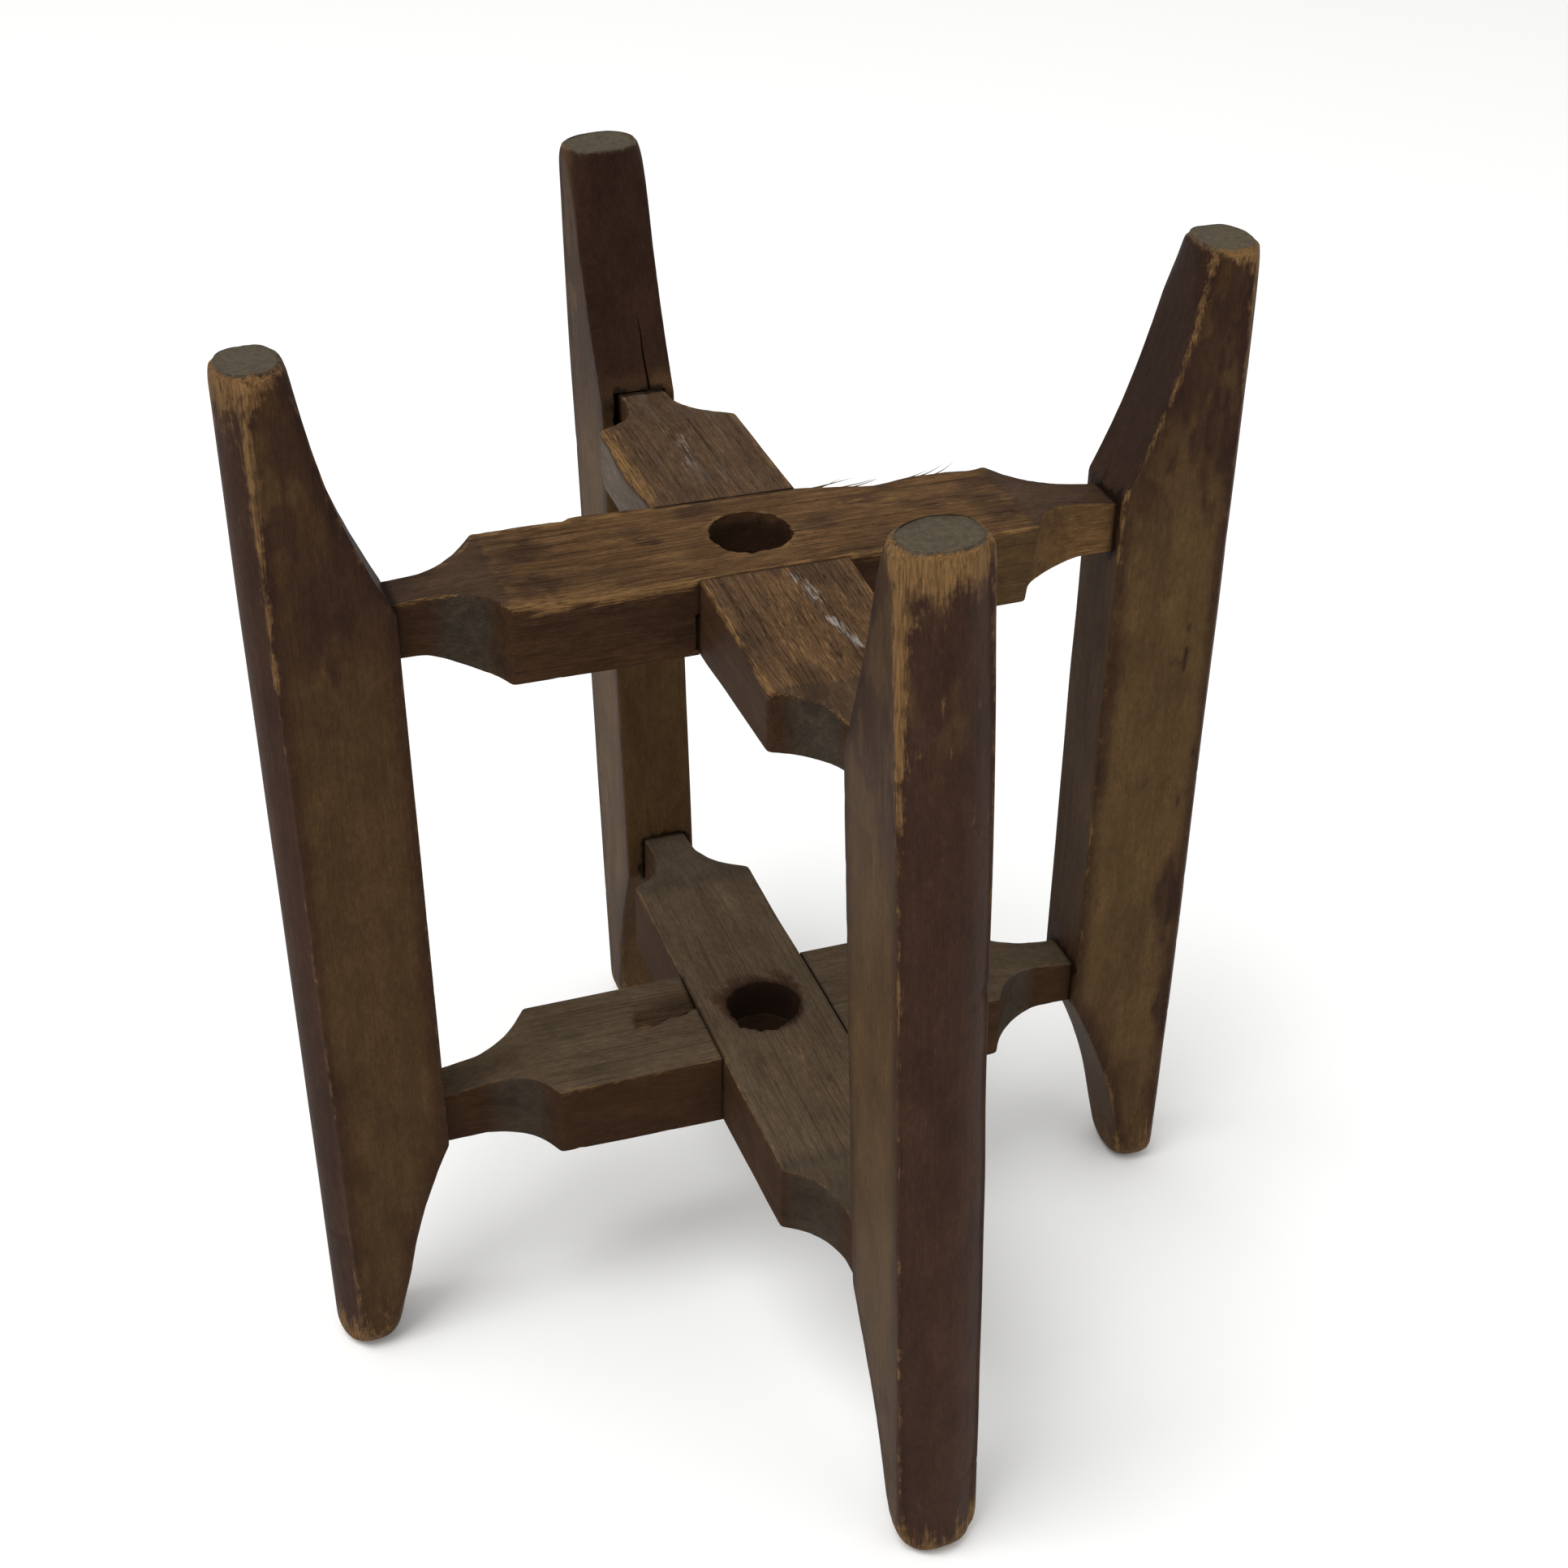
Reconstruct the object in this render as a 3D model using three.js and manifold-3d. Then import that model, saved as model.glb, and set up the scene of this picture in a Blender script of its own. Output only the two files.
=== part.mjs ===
// A four-post wooden thread reel: four tapered posts stand round a spindle axis, held by two crosses.
// Each cross is two arms, half-lapped where they meet, with a round spindle bore through the lap.
// The arm ends narrow to square necks that are tenoned into blind mortises in the posts.
// Millimetres, +Z up. The origin is on the ground at the middle of the reel. X runs along the
// left-right arms, Y along the front-back arms, and the front of the reel faces -Y.
import * as THREE from "three";
import { mergeVertices } from "three/addons/utils/BufferGeometryUtils.js";
import Module from "manifold-3d";

const wasm = await Module();
wasm.setup();

// Whole reel
const HEIGHT = 236.5;
const JOINT_GAP = 0.3;

// Posts: the section
const THICKNESS_OUTER = 17.8;
const THICKNESS_INNER = 17;
const CROWN_RISE = 3.8;
const ARRIS_ROUND = 0.9;

// Posts: the slim head and foot, and how their ends round off
const HEAD_TAPER_LENGTH = 52;
const FOOT_TAPER_LENGTH = 54.5;
const END_HALF_WIDTH = 8;
const END_HALF_DEPTH = 6.6;
const END_SQUARENESS = 2.6;
const END_INSET = 0.4;
const FOOT_PAD = 0.25;

// Crosses
const UPPER_TOP = 187;
const UPPER_HEIGHT = 17;
const LOWER_TOP = 67.7;
const LOWER_HEIGHT = 17.6;
const LEVEL_HALF_LENGTH = 17;
const NECK_HALF_WIDTH = 5.3;
const SCOOP_LENGTH = 13;
const NECK_LENGTH = 21.5;
const TENON_END = 89;
const BORE_DIAMETER = 16;
const UPPER_BORE = { x: -2.8, y: 2.1 };
const LOWER_BORE = { x: 0.9, y: 0.3 };

// A wane, the rounded edge of the plank, takes the lower left edge off the back of one upper arm.
const WANE = { start: 19, height: 8, width: 7 };

// The reel was fitted by hand and has racked a little, so every post has its own stance.
// turn: compass position in degrees. reach: spindle axis to the outer corners at mid height.
// depth: inner face to outer corners. slip: sideways offset at mid height. lean and splay: degrees
// by which the head tips sideways and outward. footDepth, headDepth: depth left by the tapers.
// extraHeight: how far the tip stands above HEIGHT.
const POSTS = {
  post_left: {
    turn: 180, reach: 99.35, depth: 24.1, slip: -0.1, lean: -0.66, splay: 0.9,
    footDepth: 10.5, headDepth: 10, extraHeight: 0.7,
  },
  post_front: {
    turn: -90, reach: 101.1, depth: 26.4, slip: -0.35, lean: -2.65, splay: 0,
    footDepth: 8.8, headDepth: 10, extraHeight: 0,
  },
  post_right: {
    turn: 0, reach: 101, depth: 25.3, slip: 1.9, lean: 0.45, splay: 0.1,
    footDepth: 9, headDepth: 11, extraHeight: 1.2,
  },
  post_back: {
    turn: 90, reach: 101.1, depth: 24.9, slip: 1.9, lean: 1.7, splay: 0,
    footDepth: 9.4, headDepth: 10, extraHeight: 0,
  },
};

// Each arm runs along its own axis from start to end, its full-width middle, at a sideways offset.
// From the crossing to each end its top drops and its underside lifts, so the ends are thinner.
// Its necks dip a little more on top, and their undersides rise.
const ARMS = {
  upperAcross: {
    along: "x", start: -56, end: 53.6, offset: 2, width: 30.8,
    startDrop: 0, startLift: 0, startDip: 1.5, startRise: 3.6,
    endDrop: 0, endLift: 0, endDip: 3.2, endRise: 2.7,
  },
  upperDeep: {
    along: "y", start: -53.5, end: 56.5, offset: -3, width: 30.8,
    startDrop: 2.4, startLift: 1.8, startDip: 1, startRise: 2,
    endDrop: 0, endLift: 0, endDip: 1.9, endRise: 3,
  },
  lowerAcross: {
    along: "x", start: -50.8, end: 52.6, offset: 1, width: 31.4,
    startDrop: 0, startLift: 0.9, startDip: 3.4, startRise: 0.8,
    endDrop: 0, endLift: 2, endDip: 3, endRise: 1.8,
  },
  lowerDeep: {
    along: "y", start: -53, end: 53, offset: 0.8, width: 29,
    startDrop: 0, startLift: 2, startDip: 3, startRise: 0.2,
    endDrop: 0, endLift: 1.4, endDip: 3, endRise: 1.5,
  },
};

// Turns a closed three.js geometry into a solid that can be cut and joined.
function solid(geometry) {
  const plain = geometry.clone();
  plain.deleteAttribute("normal");
  plain.deleteAttribute("uv");
  const merged = mergeVertices(plain, 1e-4);
  const mesh = new wasm.Mesh({
    numProp: 3,
    vertProperties: new Float32Array(merged.attributes.position.array),
    triVerts: new Uint32Array(merged.index.array),
  });
  return new wasm.Manifold(mesh);
}

// A shape drawn in the XY plane, raised from z0 to z1.
function raised(shape, z0, z1) {
  const geometry = new THREE.ExtrudeGeometry(shape, {
    depth: z1 - z0,
    bevelEnabled: false,
    curveSegments: 12,
  });
  geometry.translate(0, 0, z0);
  return geometry;
}

// A shape drawn as (x, z), spread from -reach to +reach along Y.
function spread(shape, reach) {
  const geometry = raised(shape, -reach, reach);
  geometry.rotateX(Math.PI / 2);
  return geometry;
}

function box(x0, x1, y0, y1, z0, z1) {
  const geometry = new THREE.BoxGeometry(x1 - x0, y1 - y0, z1 - z0);
  geometry.translate((x0 + x1) / 2, (y0 + y1) / 2, (z0 + z1) / 2);
  return solid(geometry);
}

// Plan of a post: a board on edge, its flat inner face at x0 and its outer face crowned beyond x1.
function postPlan(x0, x1) {
  const inner = THICKNESS_INNER / 2;
  const outer = THICKNESS_OUTER / 2;
  const round = ARRIS_ROUND;
  const crown = x1 + (CROWN_RISE * 4) / 3;
  const plan = new THREE.Shape();
  plan.moveTo(x0 + round, -inner);
  plan.lineTo(x1 - round, -outer);
  plan.quadraticCurveTo(x1, -outer, x1 + round / 2, -outer + round);
  plan.bezierCurveTo(crown, -outer / 2, crown, outer / 2, x1 + round / 2, outer - round);
  plan.quadraticCurveTo(x1, outer, x1 - round, outer);
  plan.lineTo(x0 + round, inner);
  plan.quadraticCurveTo(x0, inner, x0, inner - round);
  plan.lineTo(x0, -inner + round);
  plan.quadraticCurveTo(x0, -inner, x0 + round, -inner);
  return plan;
}

// Side view of a post: straight outside, and inside swept out to a slim head and foot.
function postSide(post, x0, x1, height) {
  const far = x1 + 2 * CROWN_RISE;
  const head = x1 - post.headDepth;
  const foot = x1 - post.footDepth;
  const headStart = height - HEAD_TAPER_LENGTH;
  const side = new THREE.Shape();
  side.moveTo(far, 0);
  side.lineTo(far, height);
  side.lineTo(head, height);
  side.bezierCurveTo(head - 1.5, height - 18, x0 + 9, headStart + 19, x0, headStart);
  side.lineTo(x0, FOOT_TAPER_LENGTH);
  side.bezierCurveTo(x0 + 7, FOOT_TAPER_LENGTH - 15, foot - 2, 26, foot, 0);
  side.lineTo(far, 0);
  return side;
}

// Squares up a round lathed body, so that its plan is a rounded rectangle rather than a circle.
function squareUp(geometry, power) {
  const position = geometry.attributes.position;
  for (let i = 0; i < position.count; i += 1) {
    const x = position.getX(i);
    const y = position.getY(i);
    const radius = Math.hypot(x, y);
    const flat = Math.abs(x) ** power + Math.abs(y) ** power;
    const grow = radius > 0 ? radius / flat ** (1 / power) : 1;
    position.setXY(i, x * grow, y * grow);
  }
}

// An upright body that rounds a post's head off to a flat-topped button and its foot to a dome.
// Its stages are (size of the section as a multiple of the end's, height).
function endRounding(x1, height) {
  const footStages = [
    [0, 0], [0.55, 0], [0.8, 1], [0.97, 2.8], [1.1, 6], [1.35, 12], [1.8, 22], [2.6, 36], [6, 60],
  ];
  const headStages = [
    [6, 52], [2.6, 32], [1.8, 20], [1.42, 12], [1.22, 6.5], [1.11, 3], [1.02, 1], [0.9, 0], [0, 0],
  ];
  const outline = [
    ...footStages.map(([size, z]) => new THREE.Vector2(size, z)),
    ...headStages.map(([size, drop]) => new THREE.Vector2(size, height - drop)),
  ];
  const geometry = new THREE.LatheGeometry(outline, 48);
  geometry.rotateX(Math.PI / 2);
  squareUp(geometry, END_SQUARENESS);
  geometry.scale(END_HALF_DEPTH, END_HALF_WIDTH, 1);
  geometry.translate(x1 + CROWN_RISE - END_INSET - END_HALF_DEPTH, 0, 0);
  return solid(geometry);
}

// Moves a solid made at the +X side to its post's place and stance.
function placed(body, post) {
  const middle = new THREE.Matrix4().makeTranslation(post.reach, post.slip, HEIGHT / 2);
  const unpivot = new THREE.Matrix4().makeTranslation(-post.reach, 0, -HEIGHT / 2);
  const lean = new THREE.Matrix4().makeRotationX(THREE.MathUtils.degToRad(-post.lean));
  const splay = new THREE.Matrix4().makeRotationY(THREE.MathUtils.degToRad(post.splay));
  const turn = new THREE.Matrix4().makeRotationZ(THREE.MathUtils.degToRad(post.turn));
  const matrix = turn.multiply(middle).multiply(lean).multiply(splay).multiply(unpivot);
  return body.transform(matrix.toArray());
}

// A post standing on a small flat pad, without its mortises.
function postBlank(post) {
  const x0 = post.reach - post.depth;
  const x1 = post.reach;
  const height = HEIGHT + post.extraHeight;
  const upright = solid(raised(postPlan(x0, x1), 0, height));
  const swept = solid(spread(postSide(post, x0, x1, height), THICKNESS_OUTER));
  const shaped = upright.intersect(swept).intersect(endRounding(x1, height));
  const stood = placed(shaped, post);
  const lowest = stood.boundingBox().min[2];
  const grounded = stood.translate([0, 0, -lowest - FOOT_PAD]);
  return grounded.intersect(box(-150, 150, -150, 150, 0, HEIGHT + 5));
}

// Plan of an arm drawn along X: full width in the middle, hollow scoops, then necks and tenons.
function armPlan(arm, grow) {
  const wide = arm.width / 2;
  const neck = NECK_HALF_WIDTH + grow;
  const plan = new THREE.Shape();
  const scoopDown = (x, way, side) => {
    const x1 = x + way * 2.8;
    const x2 = x + way * 5.5;
    const x3 = x + way * SCOOP_LENGTH;
    plan.lineTo(x, side * wide);
    plan.bezierCurveTo(x1, side * (neck + 4), x2, side * (neck + 1.2), x3, side * neck);
  };
  const scoopUp = (x, way, side) => {
    const x1 = x + way * 2.8;
    const x2 = x + way * 5.5;
    const x3 = x + way * SCOOP_LENGTH;
    plan.lineTo(x3, side * neck);
    plan.bezierCurveTo(x2, side * (neck + 1.2), x1, side * (neck + 4), x, side * wide);
  };
  const tenon = TENON_END + grow;
  plan.moveTo(arm.start, -wide);
  scoopDown(arm.end, 1, -1);
  plan.lineTo(tenon, -neck);
  plan.lineTo(tenon, neck);
  scoopUp(arm.end, 1, 1);
  scoopDown(arm.start, -1, 1);
  plan.lineTo(-tenon, neck);
  plan.lineTo(-tenon, -neck);
  scoopUp(arm.start, -1, -1);
  return plan;
}

// Side view of an arm as (x, z): level at the crossing, thinner at the ends, slimmer at the necks.
function armSide(arm, top, height, grow) {
  const bottom = top - height;
  const tenon = TENON_END + grow;
  const level = LEVEL_HALF_LENGTH;
  const startUnder = bottom + arm.startLift;
  const endUnder = bottom + arm.endLift;
  const startNeck = startUnder + arm.startRise - grow;
  const endNeck = endUnder + arm.endRise - grow;
  const startTop = top - arm.startDrop;
  const endTop = top - arm.endDrop;
  const startNeckTop = startTop - arm.startDip + grow;
  const endNeckTop = endTop - arm.endDip + grow;
  const side = new THREE.Shape();
  side.moveTo(-level, bottom);
  side.lineTo(level, bottom);
  side.lineTo(arm.end + 2, endUnder);
  side.bezierCurveTo(arm.end + 9, endUnder, arm.end + 10, endNeck, arm.end + 16, endNeck);
  side.lineTo(tenon, endNeck);
  side.lineTo(tenon, endNeckTop);
  side.lineTo(arm.end + NECK_LENGTH, endNeckTop);
  side.lineTo(arm.end + 1, endTop);
  side.lineTo(level, top);
  side.lineTo(-level, top);
  side.lineTo(arm.start - 1, startTop);
  side.lineTo(arm.start - NECK_LENGTH, startNeckTop);
  side.lineTo(-tenon, startNeckTop);
  side.lineTo(-tenon, startNeck);
  side.lineTo(arm.start - 16, startNeck);
  side.bezierCurveTo(
    arm.start - 10, startNeck, arm.start - 9, startUnder, arm.start - 2, startUnder,
  );
  return side;
}

// A whole arm in place, before its lap and bore are cut. grow swells its necks and tenons all round.
function armBlank(arm, top, height, grow) {
  const plan = solid(raised(armPlan(arm, grow), top - height - 5, top + 5));
  const side = solid(spread(armSide(arm, top, height, grow), 30));
  const made = plan.intersect(side);
  if (arm.along === "x") return made.translate([0, arm.offset, 0]);
  return made.rotate([0, 0, 90]).translate([arm.offset, 0, 0]);
}

function boreCutter(centre, z0, z1) {
  const radius = BORE_DIAMETER / 2;
  const geometry = new THREE.CylinderGeometry(radius, radius, z1 - z0, 48);
  geometry.rotateX(Math.PI / 2);
  geometry.translate(centre.x, centre.y, (z0 + z1) / 2);
  return solid(geometry);
}

// The space that an arm takes across its partner, from z0 to z1.
function lapCutter(arm, z0, z1) {
  const low = arm.offset - arm.width / 2 - JOINT_GAP;
  const high = arm.offset + arm.width / 2 + JOINT_GAP;
  if (arm.along === "y") return box(low, high, -60, 60, z0, z1);
  return box(-60, 60, low, high, z0, z1);
}

// The wedge of wood that the wane takes from an arm's underside, along the arm's left edge.
function waneCutter(arm, top, height) {
  const left = arm.offset - arm.width / 2;
  const bottom = top - height;
  const wedge = new THREE.Shape();
  wedge.moveTo(left - 1, bottom - 1);
  wedge.lineTo(left + WANE.width, bottom - 1);
  wedge.quadraticCurveTo(left + WANE.width / 3, bottom + WANE.height / 3, left, bottom + WANE.height);
  wedge.lineTo(left - 1, bottom + WANE.height);
  const body = solid(spread(wedge, (TENON_END - NECK_LENGTH - WANE.start) / 2));
  return body.translate([0, (TENON_END - NECK_LENGTH + WANE.start) / 2, 0]);
}

// A cross: the over arm keeps its upper half at the lap and the under arm its lower half.
function cross(over, under, top, height, bore) {
  const middle = top - height / 2;
  const cutter = boreCutter(bore, top - height - 10, top + 10);
  const overArm = armBlank(over, top, height, 0)
    .subtract(lapCutter(under, top - height - 5, middle + JOINT_GAP / 2))
    .subtract(cutter);
  const underArm = armBlank(under, top, height, 0)
    .subtract(lapCutter(over, middle - JOINT_GAP / 2, top + 5))
    .subtract(cutter);
  return [overArm, underArm];
}

// A post with a blind mortise for each neck that reaches it.
function postWithMortises(post) {
  const sideways = post.turn % 180 === 0;
  const upper = sideways ? ARMS.upperAcross : ARMS.upperDeep;
  const lower = sideways ? ARMS.lowerAcross : ARMS.lowerDeep;
  return postBlank(post)
    .subtract(armBlank(upper, UPPER_TOP, UPPER_HEIGHT, JOINT_GAP))
    .subtract(armBlank(lower, LOWER_TOP, LOWER_HEIGHT, JOINT_GAP));
}

// A named mesh with its own wood colour.
function piece(name, body, color, roughness) {
  const made = body.getMesh();
  const geometry = new THREE.BufferGeometry();
  geometry.setAttribute("position", new THREE.BufferAttribute(new Float32Array(made.vertProperties), 3));
  geometry.setIndex(new THREE.BufferAttribute(new Uint32Array(made.triVerts), 1));
  geometry.computeVertexNormals();
  const material = new THREE.MeshStandardMaterial({ color, roughness, metalness: 0 });
  const mesh = new THREE.Mesh(geometry, material);
  mesh.name = name;
  return mesh;
}

const reel = new THREE.Group();
reel.name = "thread_reel";

for (const [name, post] of Object.entries(POSTS)) {
  reel.add(piece(name, postWithMortises(post), 0x4a3020, 0.62));
}

const [upperOver, upperUnderWhole] = cross(
  ARMS.upperAcross, ARMS.upperDeep, UPPER_TOP, UPPER_HEIGHT, UPPER_BORE,
);
const upperUnder = upperUnderWhole.subtract(waneCutter(ARMS.upperDeep, UPPER_TOP, UPPER_HEIGHT));
reel.add(piece("upper_arm_left_right", upperOver, 0x5f3f22, 0.7));
reel.add(piece("upper_arm_front_back", upperUnder, 0x563a24, 0.7));

const [lowerOver, lowerUnder] = cross(
  ARMS.lowerDeep, ARMS.lowerAcross, LOWER_TOP, LOWER_HEIGHT, LOWER_BORE,
);
reel.add(piece("lower_arm_front_back", lowerOver, 0x4c3a2b, 0.75));
reel.add(piece("lower_arm_left_right", lowerUnder, 0x493728, 0.75));

export default reel;
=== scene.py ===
"""The finished look of an old four-post thread reel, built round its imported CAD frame.

Every piece of wood is lofted again as a fine mesh at its CAD place: four corner rails are rounded
off, hand-worn and roughened, then the laps, mortises and bores are cut. Lengths are in millimetres
until a mesh is made. A post's own axes are (outward, sideways, up), an arm's (along, across, up).
"""

from functools import reduce
from itertools import product

import bpy
import numpy as np
from mathutils import Matrix


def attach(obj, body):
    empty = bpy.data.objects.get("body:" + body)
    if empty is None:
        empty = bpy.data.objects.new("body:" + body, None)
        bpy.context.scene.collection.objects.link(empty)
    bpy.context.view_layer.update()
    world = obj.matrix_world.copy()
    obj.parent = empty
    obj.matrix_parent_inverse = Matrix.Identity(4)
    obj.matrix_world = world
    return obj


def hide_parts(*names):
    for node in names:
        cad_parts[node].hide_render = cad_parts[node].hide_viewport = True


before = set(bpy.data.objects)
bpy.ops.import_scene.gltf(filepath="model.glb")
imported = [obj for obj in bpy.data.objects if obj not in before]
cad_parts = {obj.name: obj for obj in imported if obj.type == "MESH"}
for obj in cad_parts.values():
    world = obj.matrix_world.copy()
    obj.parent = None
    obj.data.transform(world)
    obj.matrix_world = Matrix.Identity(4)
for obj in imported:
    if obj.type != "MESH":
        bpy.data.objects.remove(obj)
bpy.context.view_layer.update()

MM = 0.001

# ---- driving dimensions, as in the CAD but for a tighter JOINT_GAP and one post's extra_height
HEIGHT = 236.5
THICKNESS_OUTER = 17.8
THICKNESS_INNER = 17.0
CROWN_RISE = 3.8
HEAD_TAPER_LENGTH = 52.0
FOOT_TAPER_LENGTH = 54.5
END_HALF_WIDTH = 8.0
END_HALF_DEPTH = 6.6
END_SQUARENESS = 2.6
END_INSET = 0.4
FOOT_PAD = 0.25

UPPER_TOP = 187.0
UPPER_HEIGHT = 17.0
LOWER_TOP = 67.7
LOWER_HEIGHT = 17.6
LEVEL_HALF_LENGTH = 17.0
MORTISE_START = 66.0
POST_INNER_FACE = 75.8
NECK_HALF_WIDTH = 5.3
NECK_LENGTH = 21.5
TENON_END = 89.0
BORE_RADIUS = 8.0
UPPER_BORE = (-2.8, 2.1)
LOWER_BORE = (0.9, 0.3)
JOINT_GAP = 0.22

# worn: how far each arris is rubbed to bare wood, in the order outer -, outer +, inner -, inner +.
# tip: how far down the head is rubbed bare outside and inside, and how much. light: pale sides.
# crisp: size of the flat top as a share of the end's size. tilt: how far the flat top sits inwards.
POSTS = {
    "post_left": dict(turn=180, reach=99.35, depth=24.1, slip=-0.1, lean=-0.66, splay=0.9,
                      foot_depth=10.5, head_depth=10, extra_height=0.7, crisp=0.86, tilt=0, seed=11,
                      worn=(0.5, 0.8, 0.3, 0.7), tip=(20, 3, 0.75), light=0.40),
    "post_front": dict(turn=-90, reach=101.1, depth=26.4, slip=-0.35, lean=-2.65, splay=0,
                       foot_depth=8.8, head_depth=10, extra_height=0.5, crisp=0.92, tilt=0.8, seed=23,
                       worn=(1.0, 0.5, 0.3, 0.3), tip=(15, 5, 1.0), light=0.6),
    "post_right": dict(turn=0, reach=101, depth=25.3, slip=1.9, lean=0.45, splay=0.1,
                       foot_depth=9, head_depth=11, extra_height=1.2, crisp=0.9, tilt=1.0, seed=37,
                       worn=(0.7, 0.5, 0.9, 0.3), tip=(17, 2, 1.4), light=0.95),
    "post_back": dict(turn=90, reach=101.1, depth=24.9, slip=1.9, lean=1.7, splay=0,
                      foot_depth=9.4, head_depth=10, extra_height=0, crisp=0.98, tilt=0.3, seed=41,
                      worn=(0.6, 0.6, 0.1, 0.35), tip=(3, 0.3, 0.8), light=0.8),
}

# softness: how gently each scoop falls away: ((near side's start, end), (far side's start, end)).
# flecks: bare flecks on the top of the front or left half, and of the other. end_wear: bare wood
# where the flat top ends.
ARMS = {
    "upper_arm_left_right": dict(
        turn=0, start=-56, end=53.6, offset=2, width=30.8, top=UPPER_TOP, height=UPPER_HEIGHT,
        start_drop=0, start_lift=0, start_dip=1.5, start_rise=3.6,
        end_drop=0, end_lift=0, end_dip=3.2, end_rise=2.7,
        bore=UPPER_BORE, over=True, swell=0.8, partner="upper_arm_front_back", seed=53,
        softness=((0.75, 0.9), (1.6, 1.2)), flecks=(0.27, 0.27), end_wear=0.55),
    "upper_arm_front_back": dict(
        turn=90, start=-53.5, end=56.5, offset=-3, width=30.8, top=UPPER_TOP, height=UPPER_HEIGHT,
        start_drop=2.4, start_lift=1.8, start_dip=1, start_rise=2,
        end_drop=0, end_lift=0, end_dip=1.9, end_rise=3,
        bore=UPPER_BORE, over=False, swell=0, partner="upper_arm_left_right", seed=67,
        softness=((1.2, 1.5), (1.0, 0.9)), flecks=(0.27, 0.11), end_wear=0.1),
    "lower_arm_front_back": dict(
        turn=90, start=-53, end=53, offset=0.8, width=29, top=LOWER_TOP, height=LOWER_HEIGHT,
        start_drop=0, start_lift=2, start_dip=3, start_rise=0.2,
        end_drop=0, end_lift=1.4, end_dip=3, end_rise=1.5,
        bore=LOWER_BORE, over=True, swell=0.1, partner="lower_arm_left_right", seed=71,
        softness=((1.1, 1.3), (1.2, 0.8)), flecks=(0.1, 0.1), end_wear=0.1),
    "lower_arm_left_right": dict(
        turn=0, start=-50.8, end=52.6, offset=1, width=31.4, top=LOWER_TOP, height=LOWER_HEIGHT,
        start_drop=0, start_lift=0.9, start_dip=3.4, start_rise=0.8,
        end_drop=0, end_lift=2, end_dip=3, end_rise=1.8,
        bore=LOWER_BORE, over=False, swell=0.2, partner="lower_arm_front_back", seed=83,
        softness=((0.9, 1.3), (1.7, 1.0)), flecks=(0.1, 0.1), end_wear=0.1),
}

for name, post in POSTS.items():
    post.update(name=name, height=HEIGHT + post["extra_height"])
for name, arm in ARMS.items():
    arm.update(name=name, upper=arm["top"] == UPPER_TOP)

# Mortises that are looser or more torn than the rest: (slack to one side, roughness).
PLAIN_MORTISE = (0, 0.2)
MORTISES = {
    ("post_back", "upper"): (1.0, 0.3),
    ("post_right", "upper"): (0, 0.55),
    ("post_right", "lower"): (0, 0.4),
}

# Stained and rubbed places on the posts, each as (outward, up, reach outward, reach up, amount).
# Amounts above 0 are pale, below 0 dark.
SIDE_STAINS = {
    "post_left": ((98, 216, 4.5, 11, 0.45), (91.5, 214, 2, 5, 0.5), (88, 200, 2, 8, 0.45),
                  (90, 190, 7, 14, -0.6), (92, 168, 6, 7, -0.3)),
    "post_front": ((98, 216, 8, 20, 0.3),),
    "post_right": ((97, 82, 4, 12, -0.8), (99, 51, 3, 7, -0.8), (95, 200, 6, 12, -0.8),
                   (98, 222, 5, 10, -0.5), (84, 178, 3, 9, 0.25)),
    "post_back": ((97, 60, 4, 14, -0.4),),
}

# ---- colours of the wood, linear RGB
STAIN_DARK = (0.029, 0.0140, 0.0092)
STAIN_PURPLE = (0.047, 0.0225, 0.0135)
STAIN_BROWN = (0.046, 0.0225, 0.0100)
OLIVE_BROWN = (0.085, 0.0485, 0.0190)
TAN = (0.185, 0.102, 0.040)
WORN_ORANGE = (0.124, 0.065, 0.026)
UPPER_GREY_BROWN = (0.082, 0.050, 0.028)
LOWER_DUSTY = (0.095, 0.067, 0.041)
END_GRAIN_GREY = (0.077, 0.063, 0.042)
SCOOP_GREY = (0.044, 0.034, 0.024)
WANE_GREY = (0.100, 0.076, 0.056)
BORE_STAIN = (0.045, 0.020, 0.010)
CHALK = (0.36, 0.34, 0.31)
# Near-black for grime and for painted shade in seams, creases and the torn-out hollow.
GRIME_AND_SHADE = (0.008, 0.0045, 0.003)


# ---- noise and shaping helpers
def ease(t):
    t = np.clip(t, 0, 1)
    return t * t * (3 - 2 * t)


def ramp(value, low, high):
    """0 below low, 1 above high, smooth between. Low may be the larger one."""
    return ease((value - low) / (high - low))


def between(value, low, in_low, high, in_high):
    """1 between in_low and in_high, falling off smoothly to 0 at low and high."""
    return ramp(value, low, in_low) * ramp(value, high, in_high)


def noise(points, cell, seed):
    """Smooth random values from -1 to 1, with one new value for each cell of space."""
    place = points / np.asarray(cell, float)
    floor = np.floor(place)
    part = ease(place - floor)
    index = floor.astype(np.int64)
    total = np.zeros(len(points))
    for corner in product((0, 1), repeat=3):
        c = index + corner
        h = (c[:, 0] * 73856093) ^ (c[:, 1] * 19349663) ^ (c[:, 2] * 83492791) ^ (seed * 2654435761)
        for _ in range(2):
            h = h & 0xFFFFFFFF
            h = (h ^ (h >> 16)) * 0x45D9F3B
        h = h & 0xFFFFFFFF
        weight = np.prod(np.where(corner, part, 1 - part), axis=1)
        total += weight * (h / 0xFFFFFFFF)
    return 2 * total - 1


def layered(points, cell, seed, layers=3):
    """Noise with finer and finer layers added, about -1 to 1."""
    cell = np.asarray(cell, float)
    total = sum(0.55**i * noise(points, cell / 2**i, seed + i) for i in range(layers))
    return total / 1.3


def noise_along(z, cell, seed):
    """Noise for a list of heights or lengths."""
    points = np.stack([np.full_like(z, 0.37), np.full_like(z, 0.61), z], axis=1)
    return noise(points, (1, 1, cell), seed)


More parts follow.
